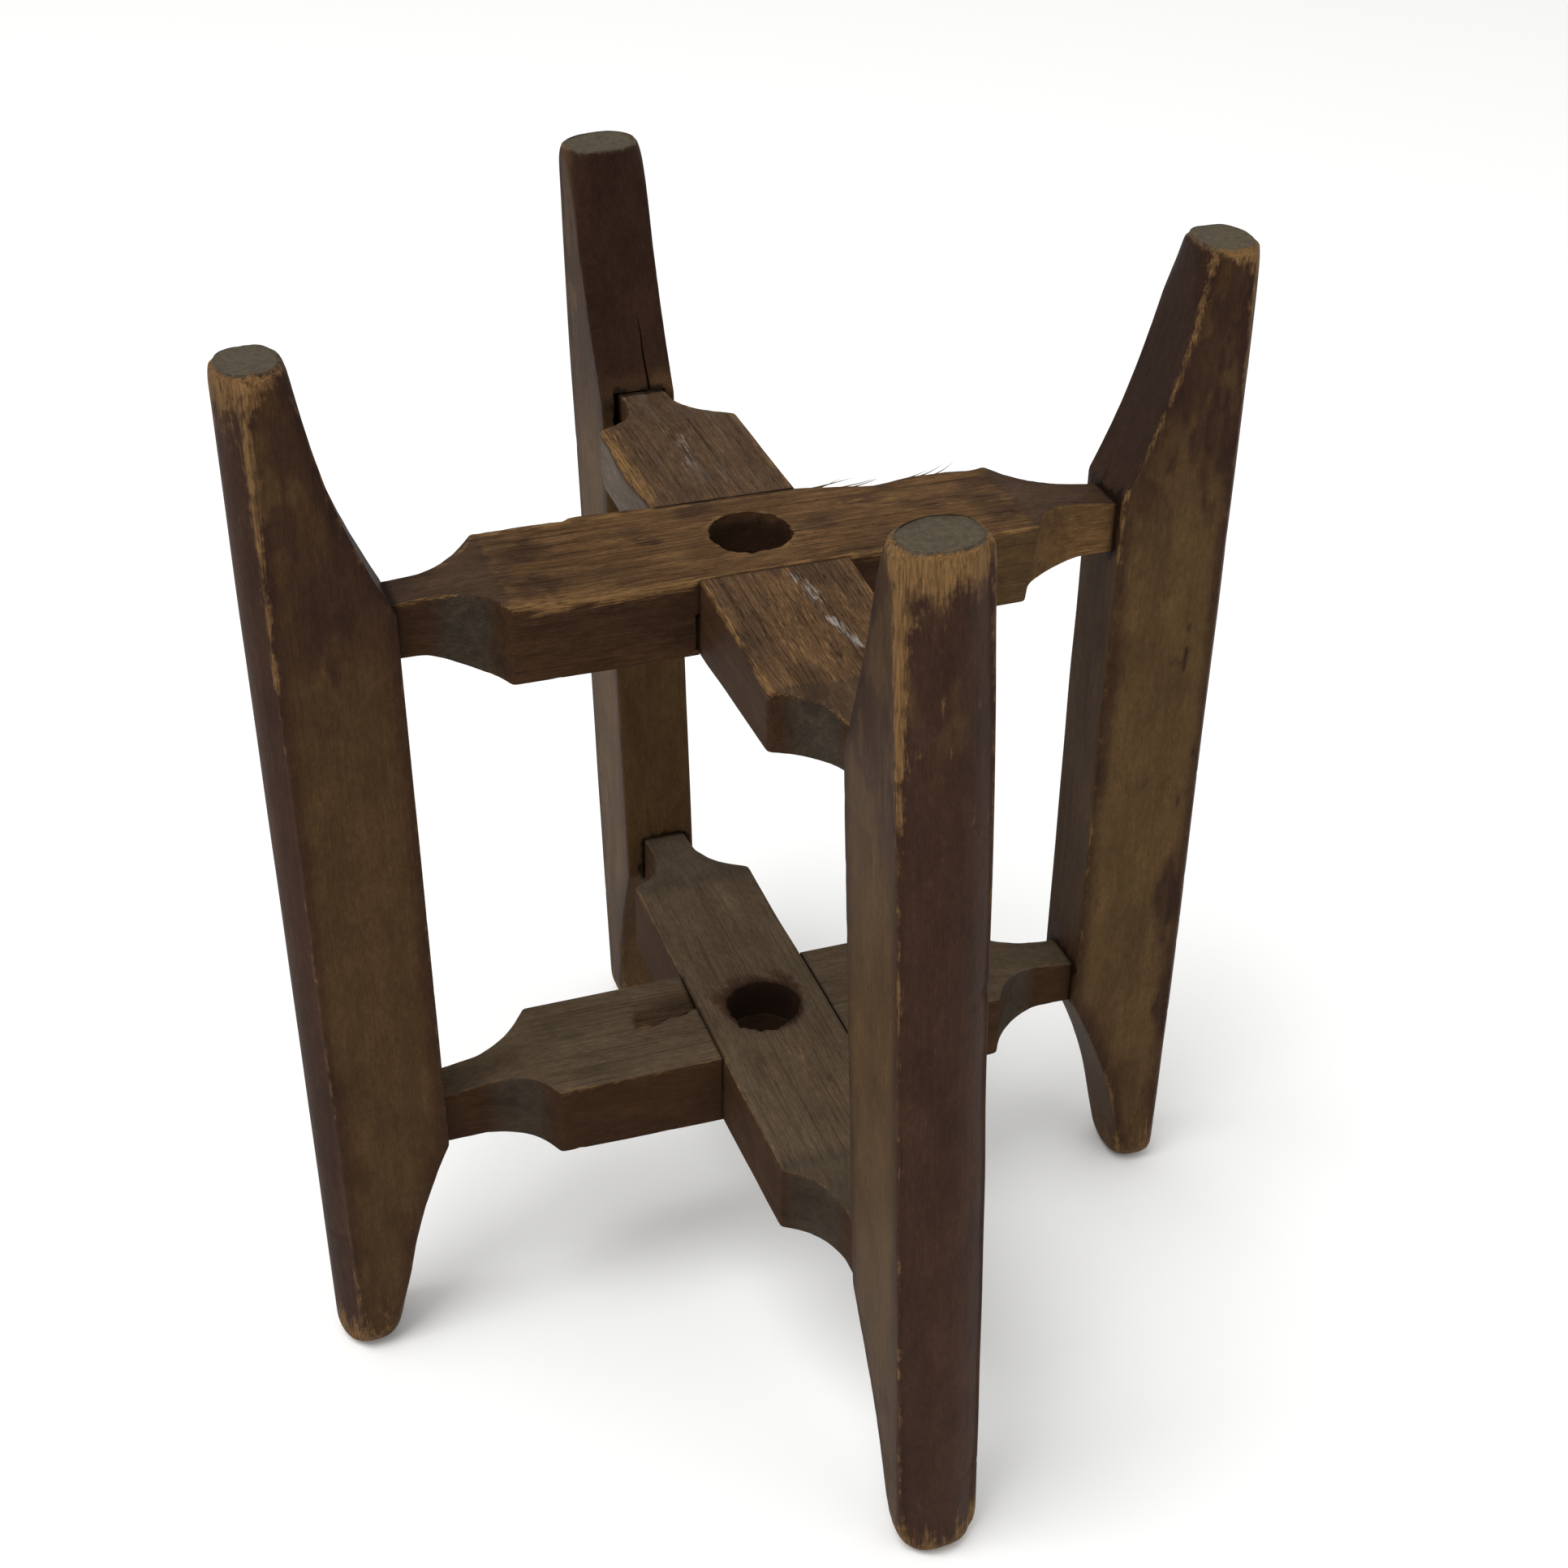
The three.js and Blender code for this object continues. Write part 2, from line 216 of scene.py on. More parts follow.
def bump_at(value, centre, half_width):
    """A smooth hump, 1 at the centre."""
    return np.exp(-(((value - centre) / half_width) ** 2))


def bezier(p0, p1, p2, p3, count=60):
    t = np.linspace(0, 1, count)[:, None]
    p0, p1, p2, p3 = (np.asarray(p, float) for p in (p0, p1, p2, p3))
    return p0 * (1 - t) ** 3 + 3 * p1 * t * (1 - t) ** 2 + 3 * p2 * t**2 * (1 - t) + p3 * t**3


def relax(values, passes):
    """Rounds off kinks in rails by averaging neighbouring stations; the two ends stay."""
    values = values.copy()
    for _ in range(passes):
        values[1:-1] = (values[:-2] + 2 * values[1:-1] + values[2:]) / 4
    return values


# ---- mesh helpers
def rounded_rings(corners, radii, flat_points, crown=None, arc_points=7):
    """Closed rings of points round four corner rails.

    corners is (stations, 4, 3). radii is (stations, 4, 2): how far each corner's rounding reaches
    back along the face before it and on along the face after it. crown swells the four faces.
    """
    step = np.roll(corners, -1, axis=1) - corners
    along = step / np.linalg.norm(step, axis=2, keepdims=True)
    enter = corners - np.roll(along, 1, axis=1) * radii[..., 0:1]
    leave = corners + along * radii[..., 1:2]
    points = []
    for i in range(4):
        for t in np.linspace(0, 1, arc_points):
            arc = enter[:, i] * (1 - t) ** 2 + 2 * corners[:, i] * t * (1 - t) + leave[:, i] * t**2
            points.append(arc)
        arrive = enter[:, (i + 1) % 4]
        for t in np.linspace(0, 1, flat_points[i] + 2)[1:-1]:
            flat = leave[:, i] + (arrive - leave[:, i]) * t
            if crown is not None:
                flat = flat + crown[:, i] * (4 * t * (1 - t))
            points.append(flat)
    return np.stack(points, axis=1)


def put(name, data):
    """A new object in the scene."""
    made = bpy.data.objects.new(name, data)
    bpy.context.scene.collection.objects.link(made)
    return made


def turned(degrees, axis):
    return Matrix.Rotation(np.radians(degrees), 4, axis)


def skin(name, rings):
    """A closed mesh object over rings of points, each end closed by a fan."""
    count, size, _ = rings.shape
    middle = [rings[0].mean(axis=0), rings[-1].mean(axis=0)]
    points = np.concatenate([rings.reshape(-1, 3), middle])
    row = np.arange(count - 1)[:, None] * size
    this = np.arange(size)[None]
    after = (this + 1) % size
    quads = np.stack([row + this, row + after, row + size + after, row + size + this], axis=-1)
    last = (count - 1) * size
    faces = quads.reshape(-1, 4).tolist()
    faces += [(a, int(b), count * size) for a, b in zip(after[0].tolist(), this[0])]
    faces += [(last + int(a), last + int(b), count * size + 1) for a, b in zip(this[0], after[0])]
    mesh = bpy.data.meshes.new(name)
    mesh.from_pydata(points.tolist(), [], faces)
    if signed_volume(mesh) < 0:
        mesh.flip_normals()
    mesh.shade_smooth()
    return put(name, mesh)


def read(items, key, kind):
    """Three numbers for each item of a mesh."""
    flat = np.empty(len(items) * 3, kind)
    items.foreach_get(key, flat)
    return flat.reshape(-1, 3)


def vertex_positions(mesh):
    return read(mesh.vertices, "co", np.float32).astype(float)


def set_positions(mesh, points):
    mesh.vertices.foreach_set("co", points.astype(np.float32).ravel())
    mesh.update()


def vertex_normals(mesh):
    return read(mesh.vertex_normals, "vector", np.float32).astype(float)


def signed_volume(mesh):
    points = vertex_positions(mesh)
    mesh.calc_loop_triangles()
    a, b, c = (points[i] for i in read(mesh.loop_triangles, "vertices", np.int32).T)
    return float(np.einsum("ij,ij->i", a, np.cross(b, c)).sum() / 6)


def moved(points, matrix):
    matrix = np.array(matrix)
    return points @ matrix[:3, :3].T + matrix[:3, 3]


def cut(piece, cutters):
    """Takes the cutters' solids out of a piece for good, and removes the cutters."""
    for cutter in cutters:
        modifier = piece.modifiers.new("cut", "BOOLEAN")
        modifier.operation = "DIFFERENCE"
        modifier.solver = "MANIFOLD"
        modifier.object = cutter
    bpy.context.view_layer.update()
    evaluated = piece.evaluated_get(bpy.context.evaluated_depsgraph_get())
    mesh = bpy.data.meshes.new_from_object(evaluated)
    piece.modifiers.clear()
    piece.data = mesh
    for cutter in cutters:
        bpy.data.objects.remove(cutter)


def rough_bar(low, high, roughness, seed):
    """A box-shaped cutter along its longest side, with slightly uneven hand-cut faces."""
    low, high = np.array(low, float), np.array(high, float)
    axis = int(np.argmax(high - low))
    u, v = [i for i in range(3) if i != axis]
    stations = np.arange(0, 1.0001, 1 / 40)
    corners = np.empty((len(stations), 4, 3))
    for i, (pick_u, pick_v) in enumerate(((0, 0), (1, 0), (1, 1), (0, 1))):
        corners[:, i, axis] = low[axis] + (high[axis] - low[axis]) * stations
        corners[:, i, u] = (low, high)[pick_u][u]
        corners[:, i, v] = (low, high)[pick_v][v]
    radii = np.full((len(stations), 4, 2), 0.15)
    bar = skin("bar", rounded_rings(corners, radii, (12, 12, 12, 12), arc_points=3))
    points = vertex_positions(bar.data)
    shift = np.stack([noise(points, (3, 3, 3), seed + i) for i in range(3)], axis=1)
    set_positions(bar.data, points + roughness * shift)
    return bar


# ---- posts
def post_matrix(post):
    """From a post's own axes to the row frame, before it is lowered onto its pad."""
    middle = Matrix.Translation((post["reach"], post["slip"], HEIGHT / 2))
    back = Matrix.Translation((-post["reach"], 0, -HEIGHT / 2))
    lean = turned(-post["lean"], "X")
    splay = turned(post["splay"], "Y")
    turn = turned(post["turn"], "Z")
    return turn @ middle @ lean @ splay @ back


def inner_face(post, z):
    """How far out the post's inner face is at each height: it sweeps out to the head and foot."""
    x0, x1 = post["reach"] - post["depth"], post["reach"]
    height = post["height"]
    foot, head = x1 - post["foot_depth"], x1 - post["head_depth"]
    taper = height - HEAD_TAPER_LENGTH
    foot_sweep = bezier((foot, 0), (foot - 2, 26), (x0 + 7, FOOT_TAPER_LENGTH - 15),
                        (x0, FOOT_TAPER_LENGTH))
    head_sweep = bezier((x0, taper), (x0 + 9, taper + 19), (head - 1.5, height - 18),
                        (head, height))
    outline = np.vstack([foot_sweep, head_sweep])
    return np.interp(z, outline[:, 1], outline[:, 0])


def end_size(post, z):
    """Size of the rounded end's outline at each height, as a multiple of the end's half sizes."""
    drop = post["height"] - z
    head = 1.07 - (1.07 - post["crisp"]) * np.exp(-drop / 1.7) + 0.028 * drop + 0.0006 * drop**2
    foot = 0.55 + 0.45 * (1 - np.exp(-z / 1.9)) + 0.022 * z + 0.0006 * z**2
    return np.minimum(head, foot)


def end_centre(post):
    return post["reach"] + CROWN_RISE - END_INSET - END_HALF_DEPTH


def end_reach(outward, sideways):
    """How far out a place lies from the middle of the rounded end: 1 on its outline."""
    across = np.abs(outward) / END_HALF_DEPTH
    side = np.abs(sideways) / END_HALF_WIDTH
    return (across**END_SQUARENESS + side**END_SQUARENESS) ** (1 / END_SQUARENESS)


def squeeze_to_end(rings, size, centre):
    """Draws each ring in so that it lies within the rounded end's outline of that size."""
    reach = end_reach(rings[..., 0] - centre, rings[..., 1])
    ratio = size[:, None] / np.maximum(reach, 1e-6)
    softness = 0.035
    keep = -softness * np.log(np.exp(-1 / softness) + np.exp(-np.minimum(ratio, 3) / softness))
    rings[..., 0] = centre + (rings[..., 0] - centre) * keep
    rings[..., 1] *= keep


def post_rings(post):
    """A post's surface as rings from foot to head, in its own axes."""
    height = post["height"]
    end_part = 22 * np.linspace(0, 1, 56) ** 1.7
    body = np.arange(22.8, height - 22.4, 0.85)
    z = np.concatenate([end_part, body, (height - end_part)[::-1]])
    seed = post["seed"]
    x0, x1 = inner_face(post, z), np.full_like(z, post["reach"])
    outer, inner = THICKNESS_OUTER / 2, THICKNESS_INNER / 2
    corners = np.empty((len(z), 4, 3))
    for i, (x, y) in enumerate(((x1, -outer), (x1, outer), (x0, inner), (x0, -inner))):
        corners[:, i, 0] = x + 0.12 * noise_along(z, 31, seed + i)
        corners[:, i, 1] = y + 0.16 * noise_along(z, 43, seed + 5 + i)
        corners[:, i, 2] = z
    radii = np.empty((len(z), 4, 2))
    near_end = bump_at(z, height, 26) + bump_at(z, 0, 30)
    for i, base in enumerate((0.95, 0.95, 0.65, 0.65)):
        chips = np.maximum(noise_along(z, 3.1, seed + 9 + i) - 0.55, 0) * 2.2
        drift = 0.35 * noise_along(z, 17, seed + 15 + i)
        radii[:, i] = np.clip(base + drift + chips + 0.9 * near_end, 0.3, 4)[:, None]
    crown = np.zeros((len(z), 4, 3))
    crown[:, 0, 0] = CROWN_RISE
    rings = rounded_rings(corners, radii, (24, 28, 20, 28), crown)
    centre = end_centre(post)
    squeeze_to_end(rings, end_size(post, z), centre)
    rings[..., 0] -= (post["tilt"] * np.exp(-(height - z) / 2.2))[:, None]
    middle = np.array([centre, 0, 0])
    head_middle = middle - (post["tilt"], 0, 0)
    shrink = np.linspace(0.94, 0.06, 14)[:, None, None]
    head_cap = (rings[-1] - head_middle) * shrink + head_middle
    head_cap[..., 2] = height
    foot_cap = (rings[0] - middle) * shrink + middle
    foot_cap[..., 2] = 0
    return np.concatenate([foot_cap[::-1], rings, head_cap])


def push_out(mesh, amount):
    set_positions(mesh, vertex_positions(mesh) + vertex_normals(mesh) * amount[:, None])


def roughen_post(piece, post):
    """Hand-planed waviness, fine raised grain, nicks, and a slightly hollow, uneven end grain."""
    seed = post["seed"]
    points = vertex_positions(piece.data)
    swell = 0.16 * noise(points, (14, 14, 46), seed + 31)
    grain = 0.045 * noise(points, (0.9, 0.9, 24), seed + 32)
    scars = noise(points, (2.2, 2.2, 5), seed + 33)
    nicks = -0.5 * np.maximum(scars - 0.72, 0)
    top = ramp(points[:, 2], HEIGHT - 0.6, HEIGHT)
    hollow = -top * (0.42 + 0.2 * noise(points, (4, 4, 4), seed + 34))
    push_out(piece.data, swell + grain + nicks + hollow)


def neck_section(arm, outward_end):
    """(half width, bottom, top) of an arm's neck where it enters a post."""
    side = "end" if outward_end else "start"
    top = arm["top"] - arm[side + "_drop"] - arm[side + "_dip"]
    bottom = arm["top"] - arm["height"] + arm[side + "_lift"] + arm[side + "_rise"]
    return NECK_HALF_WIDTH, bottom, top


def arms_into(post):
    """The upper and lower arms that are tenoned into a post, and whether by their far ends."""
    direction = "left_right" if post["turn"] % 180 == 0 else "front_back"
    far_end = post["turn"] in (0, 90)
    return [(level, ARMS[f"{level}_arm_{direction}"], far_end) for level in ("upper", "lower")]


def mortise_cutter(arm, outward_end, slack, roughness, seed):
    """The blind hole that takes an arm's tenon, a little larger all round and slack on one side."""
    half, bottom, top = neck_section(arm, outward_end)
    sign = 1 if outward_end else -1
    ends = sorted((sign * MORTISE_START, sign * (TENON_END + 0.3)))
    low = (ends[0], -half - JOINT_GAP, bottom - JOINT_GAP)
    high = (ends[1], half + JOINT_GAP + slack, top + JOINT_GAP + 0.2 * slack)
    cutter = rough_bar(low, high, roughness, seed)
    set_positions(cutter.data, moved(vertex_positions(cutter.data), arm_matrix(arm)))
    return cutter


def crack_cutter(foot, head, width, depth):
    """An upright crack: a blade that tapers from its foot to nothing at its head."""
    foot, head = np.array(foot, float), np.array(head, float)
    stations = np.linspace(-0.08, 1, 24)
    centre = foot + (head - foot) * stations[:, None]
    centre[:, 0] += 0.3 * noise_along(stations * 16, 3.0, 501)
    half = width / 2 * np.clip(1 - stations, 0.04, 1) ** 0.55
    corners = np.repeat(centre[:, None], 4, axis=1)
    corners[:, :, 0] += half[:, None] * (-1, 1, 0.25, -0.25)
    corners[:, :, 1] += np.array((-2.0, -2.0, depth, depth))
    radii = np.full((len(stations), 4, 2), 0.01)
    return skin("crack", rounded_rings(corners, radii, (1, 3, 1, 3), arc_points=2))


def make_post(name):
    post = POSTS[name]
    piece = skin(name + "_wood", post_rings(post))
    roughen_post(piece, post)
    points = moved(vertex_positions(piece.data), post_matrix(post))
    lowest = points[:, 2].min()
    lower = Matrix.Translation((0, 0, -lowest - FOOT_PAD))
    points[:, 2] = np.maximum(points[:, 2] - lowest - FOOT_PAD, 0)
    set_positions(piece.data, points)
    cutters = []
    for i, (level, arm, outward_end) in enumerate(arms_into(post)):
        slack, roughness = MORTISES.get((name, level), PLAIN_MORTISE)
        cutters.append(mortise_cutter(arm, outward_end, slack, roughness, post["seed"] + i))
    if name == "post_back":
        cutters.append(crack_cutter((-0.9, 76.5, 184.8), (-1.7, 82.8, 201), 1.0, 3.0))
    cut(piece, cutters)
    paint_post(piece, post, lower @ post_matrix(post))
    return piece


# ---- arms
def arm_matrix(arm):
    """From an arm's own axes to the row frame. Heights are already the row's."""
    if arm["turn"] == 0:
        return Matrix.Translation((0, arm["offset"], 0))
    return Matrix.Translation((arm["offset"], 0, 0)) @ turned(90, "Z")


def scoop(width, softness):
    """The hollow between an arm's full width and its neck, as (distance out, half width)."""
    neck = NECK_HALF_WIDTH
    return bezier((0, width / 2), (2.8, neck + 4 * softness), (5.5, neck + 1.2 * softness),
                  (13, neck), 36)


def plan_rail(arm, softness):
    """One side of an arm's plan as (distance along, half width), from tenon to tenon."""
    start, end = arm["start"], arm["end"]
    at_start, at_end = (scoop(arm["width"], s) for s in softness)
    tenon = NECK_HALF_WIDTH
    neck_in = np.linspace((-TENON_END, tenon), (start - 13.6, tenon - 0.2), 34)
    neck_out = np.linspace((end + 13.6, tenon - 0.2), (TENON_END, tenon), 34)
    body = np.linspace((start + 0.6, arm["width"] / 2), (end - 0.6, arm["width"] / 2), 150)
    scoop_in = at_start[::-1] * (-1, 1) + (start, 0)
    scoop_out = at_end + (end, 0)
    return relax(np.concatenate([neck_in, scoop_in, body, scoop_out, neck_out]), 2)


def top_line(arm, x):
    top = arm["top"]
    start_top, end_top = top - arm["start_drop"], top - arm["end_drop"]
    stations = (arm["start"] - NECK_LENGTH, arm["start"] - 1, -LEVEL_HALF_LENGTH,
                LEVEL_HALF_LENGTH, arm["end"] + 1, arm["end"] + NECK_LENGTH)
    heights = (start_top - arm["start_dip"], start_top, top, top, end_top, end_top - arm["end_dip"])
    return np.interp(x, stations, heights)


def bottom_line(arm, x):
    bottom = arm["top"] - arm["height"]
    start_under, end_under = bottom + arm["start_lift"], bottom + arm["end_lift"]
    level = np.interp(x, (arm["start"] - 2, -LEVEL_HALF_LENGTH, LEVEL_HALF_LENGTH, arm["end"] + 2),
                      (start_under, bottom, bottom, end_under))
    rise = arm["start_rise"] * ramp(x, arm["start"] - 3, arm["start"] - 16)
    return level + rise + arm["end_rise"] * ramp(x, arm["end"] + 3, arm["end"] + 16)


NEAR_TOP, FAR_TOP, FAR_BOTTOM, NEAR_BOTTOM = range(4)


def arm_shape(arm):
    """An arm's rails and how far each of its four long edges is worn round."""
    seed = arm["seed"]
    near = plan_rail(arm, arm["softness"][0])
    far = plan_rail(arm, arm["softness"][1])
    corners = np.empty((len(near), 4, 3))
    for i, (rail, side, line) in enumerate((
        (near, -1, top_line), (far, 1, top_line), (far, 1, bottom_line), (near, -1, bottom_line),
    )):
        x = rail[:, 0]
        waver = 0.14 * noise_along(x, 23, seed + i)
        corners[:, i, 0] = x
        corners[:, i, 1] = side * (rail[:, 1] + waver)
        corners[:, i, 2] = relax(line(arm, x), 6) + 0.12 * noise_along(x, 27, seed + 5 + i)
    x = near[:, 0]
    on_body = between(x, arm["start"] - 2, arm["start"] + 3, arm["end"] + 2, arm["end"] - 3)
    radii = np.empty((len(x), 4, 2))
    for i in range(4):
        chips = np.maximum(noise_along(x, 2.6, seed + 9 + i) - 0.5, 0) * 1.6 * on_body
        radius = 0.5 + 0.25 * noise_along(x, 9, seed + 13 + i) + chips
        radii[:, i] = np.clip(radius, 0.2, 3)[:, None]
    EDGE_WEAR[arm["name"]](x, corners, radii)
    return corners, radii


def wear_upper_across(x, corners, radii):
    """The front top edge sags and is rubbed down on its left half, the back one swells and dips."""
    corners[:, NEAR_TOP, 2] -= 1.05 * bump_at(x, -41, 10) + 0.5 * bump_at(x, -22, 8)
    rubbed = between(x, -56, -50, -17, -22)
    ragged = 1 + 0.5 * noise_along(x, 4, 303) + 0.35 * noise_along(x, 1.3, 304)
    radii[:, NEAR_TOP, 0] += 0.55 * rubbed * ragged
    radii[:, NEAR_TOP, 1] += (1.5 + 0.9 * bump_at(x, -20, 8)) * rubbed * ragged
    stations = (-66, -57, -37, -35.6, -28, -19, 12, 20, 28, 37, 46, 52, 62)
    swells = (0, 1.0, 1.0, 2.1, 1.9, 0.85, 0.65, -0.6, -2.5, -1.0, -1.3, -1.8, 0)
    ragged = 0.3 * noise_along(x, 4.5, 301) + 0.2 * noise_along(x, 1.6, 302)
    on_body = between(x, -57, -54, 56, 50)
    corners[:, FAR_TOP, 1] += np.interp(x, stations, swells) + ragged * on_body
    corners[:, FAR_BOTTOM, 1] += 0.5 * np.interp(x, stations, swells)
    radii[:, FAR_TOP] += (0.5 * ramp(x, 14, 22) * on_body)[:, None]
    lean = 2.2 * between(x, 46, 54, 70, 58)
    corners[:, NEAR_BOTTOM, 0] -= lean
    corners[:, FAR_BOTTOM, 0] -= lean


def wear_upper_deep(x, corners, radii):
    """A wane takes the lower left edge off the back half, and the left top edge is rubbed soft."""
    wane = ramp(x, 18, 19.5)
    radii[:, FAR_BOTTOM, 0] += 7.4 * wane
    radii[:, FAR_BOTTOM, 1] += 6.5 * wane
    ragged = 1 + 0.5 * noise_along(x, 5, 305) + 0.4 * noise_along(x, 1.5, 306)
    back_left = between(x, 19, 26, 57, 52)
    corners[:, FAR_TOP, 1] += 1.1 * bump_at(x, 36, 10)
    radii[:, FAR_TOP, 0] += 2.2 * back_left * ragged
    radii[:, FAR_TOP, 1] += 0.6 * back_left * ragged
    radii[:, FAR_TOP] += (0.5 * ramp(x, -30, -50) * ragged)[:, None]
    corners[:, NEAR_TOP, 2] -= 0.5 * ramp(x, -20, -40)


def wear_lower_deep(x, corners, radii):
    """The left edge is chipped all along the lap, so the seam shows as a ragged crack."""
    seam = between(x, -18, -14, 19, 16)
    ragged = 0.55 + 0.5 * noise_along(x, 3, 307) + 0.4 * noise_along(x, 1.1, 308)
    radii[:, FAR_TOP] += (0.35 * bump_at(x, -35, 14) + np.maximum(ragged, 0) * seam)[:, None]
    corners[:, NEAR_TOP, 1] += 0.3 * bump_at(x, 30, 12)


def wear_lower_across(x, corners, radii):
    radii[:, FAR_TOP] += (0.5 * ramp(x, -18, -30))[:, None]
    corners[:, FAR_BOTTOM, 0] -= 0.6 * between(x, 46, 54, 70, 58)


EDGE_WEAR = {
    "upper_arm_left_right": wear_upper_across,
    "upper_arm_front_back": wear_upper_deep,
    "lower_arm_front_back": wear_lower_deep,
    "lower_arm_left_right": wear_lower_across,
}


def roughen_arm(piece, arm):
    """Slow waviness, raised grain on the worn top, and saw and rasp marks in the scoops."""
    seed = arm["seed"]
    points = vertex_positions(piece.data)
    x = points[:, 0]
    swell = 0.14 * noise(points, (30, 12, 12), seed + 31)
    ridge = (0.085 if arm["upper"] else 0.04) * noise(points, (34, 1.15, 5), seed + 32)
    facing_up = np.clip(vertex_normals(piece.data)[:, 2], 0, 1)
    outside = ramp(np.abs(x - (arm["start"] + arm["end"]) / 2), 52, 58)
    rasp = 0.05 * outside * noise(points, (1.0, 1.4, 3), seed + 33)
    dents = -0.7 * np.maximum(noise(points, (5, 2.4, 3), seed + 34) - 0.74, 0)
    push_out(piece.data, swell + ridge * (0.35 + 0.65 * facing_up) + rasp + dents)


def torn_area(x, y, points):
    """Where a sliver has torn out of the lower arm's top: (depth, distance from its near edge)."""
    ragged_end = 2.2 * noise(points, (9, 1.3, 9), 405)
    along = ramp(x + ragged_end, -29.5, -28) * ramp(x, -12, -14)
    from_edge = y - 0.2 * (x + 29) - 0.7 * noise(points, (3.5, 9, 9), 406)
    shallower = np.clip(from_edge / 12, 0, 1)
    return along * ramp(from_edge, -0.4, 0.5) * (1 - shallower) ** 1.4, from_edge


def tear_out(piece):
    points = vertex_positions(piece.data)
    x, y, z = points.T
    torn = torn_area(x, y, points)[0] * ramp(z, LOWER_TOP - 2.5, LOWER_TOP - 1)
    fibres = 0.8 + 0.5 * noise(points, (9, 1.0, 3), 407)
    points[:, 2] -= 2.2 * np.clip(torn, 0, 1) * fibres
    set_positions(piece.data, points)


def bore_cutter(arm):
    """The spindle bore, worn wide and ragged at both mouths, the lower cross's upper one most."""
    centre_x, centre_y = arm["bore"]
    top, bottom = arm["top"], arm["top"] - arm["height"]
    z = np.concatenate([np.linspace(bottom - 2, bottom + 2, 16),
                        np.linspace(bottom + 2.5, top - 2.5, 18),
                        np.linspace(top - 2, top + 2, 24)])
    angle = np.linspace(0, 2 * np.pi, 97)[:-1]
    zz, aa = np.meshgrid(z, angle, indexing="ij")
    unit = np.stack([np.cos(aa).ravel(), np.sin(aa).ravel(), zz.ravel()], axis=1)
    place = unit * (BORE_RADIUS, BORE_RADIUS, 1)
    seed = arm["seed"] // 10
    wobble = noise(place, (3, 3, 6), seed + 7) + 0.7 * noise(place, (1.1, 1.1, 3), seed + 8)
    wobble = wobble.reshape(zz.shape)
    mouth = 0.55 if arm["upper"] else 0.45 + 1.0 * np.clip(-np.sin(aa + 0.4), 0, 1) ** 2
    flare = mouth * (ramp(zz, top - 2.4, top + 0.4) + ramp(zz, bottom + 1.2, bottom - 0.4))
    ragged = 1.3 if arm["upper"] else 1.5
    radius = BORE_RADIUS + 0.08 * wobble + flare * np.maximum(1 + ragged * wobble, 0.1)
    rings = np.stack([centre_x + radius * np.cos(aa), centre_y + radius * np.sin(aa), zz], axis=2)
    return skin("bore", rings)


def lap_cutter(arm, partner):
    """The half of the crossing that the partner takes."""
    middle = arm["top"] - arm["height"] / 2
    half = partner["width"] / 2 + JOINT_GAP / 2
    low, high = partner["offset"] - half, partner["offset"] + half + partner["swell"]
    if arm["over"]:
        z0, z1 = arm["top"] - arm["height"] - 5, middle + JOINT_GAP / 2
    else:
        z0, z1 = middle - JOINT_GAP / 2, arm["top"] + 5
    if partner["turn"] == 90:
        return rough_bar((low, -60, z0), (high, 60, z1), 0.1, arm["seed"])
    return rough_bar((-60, low, z0), (60, high, z1), 0.1, arm["seed"])


def splinter(start, reach, rise, outward, thickness):
    """A raised wood fibre: a thin closed spike that lifts off along the grain."""
    t = np.linspace(0, 1, 14)
    bend = noise_along(t * 10 + start[0], 3.0, 601)
    centre = np.stack([
        start[0] + reach * t,
        start[1] + outward * t**1.5 + 0.15 * bend * t,
        start[2] + rise * t**1.8,
    ], axis=1)
    half = thickness / 2 * np.clip(1 - t, 0.05, 1) ** 0.6
    offsets = np.array([(0, -1, 0), (0, 0, 1), (0, 1, 0), (0, 0, -1)], float)
    return skin("splinter", centre[:, None] + half[:, None, None] * offsets)


SPLINTERS = (
    ((12.0, 17.6, 186.4), 13, 0.8, 0.8, 0.42), ((15.5, 17.2, 186.4), 7, 1.2, 1.1, 0.34),
    ((23.0, 15.6, 186.5), 7, 0.6, 1.0, 0.36), ((33.0, 15.4, 186.5), 8, 1.1, 0.9, 0.4),
    ((38.0, 16.0, 186.5), 7, 1.6, 1.1, 0.36), ((41.5, 15.8, 186.5), 6, 2.0, 1.2, 0.36),
    ((20.0, 16.4, 186.4), 10, 0.4, 0.9, 0.34),
)


def join(piece, others):
    with bpy.context.temp_override(active_object=piece, selected_editable_objects=[piece, *others]):
        bpy.ops.object.join()


def make_arm(name):
    arm = ARMS[name]
    corners, radii = arm_shape(arm)
    piece = skin(name + "_wood", rounded_rings(corners, radii, (46, 20, 40, 20)))
    roughen_arm(piece, arm)
    if name == "lower_arm_left_right":
        tear_out(piece)
    matrix = arm_matrix(arm)
    set_positions(piece.data, moved(vertex_positions(piece.data), matrix))
    cutters = [lap_cutter(arm, ARMS[arm["partner"]]), bore_cutter(arm)]
    if name == "upper_arm_left_right":
        cutters.append(rough_bar((-19.4, -14.6, 171.5), (-18.1, -12.3, 179.5), 0.45, 401))
    cut(piece, cutters)
    if name == "upper_arm_left_right":
        join(piece, [splinter(*values) for values in SPLINTERS])
    paint_arm(piece, arm, matrix)
    return piece


# ---- where each colour and wear lies
def mix(a, b, amount):
    amount = np.clip(np.atleast_1d(amount), 0, 1)[:, None]
    return np.asarray(a) * (1 - amount) + np.asarray(b) * amount


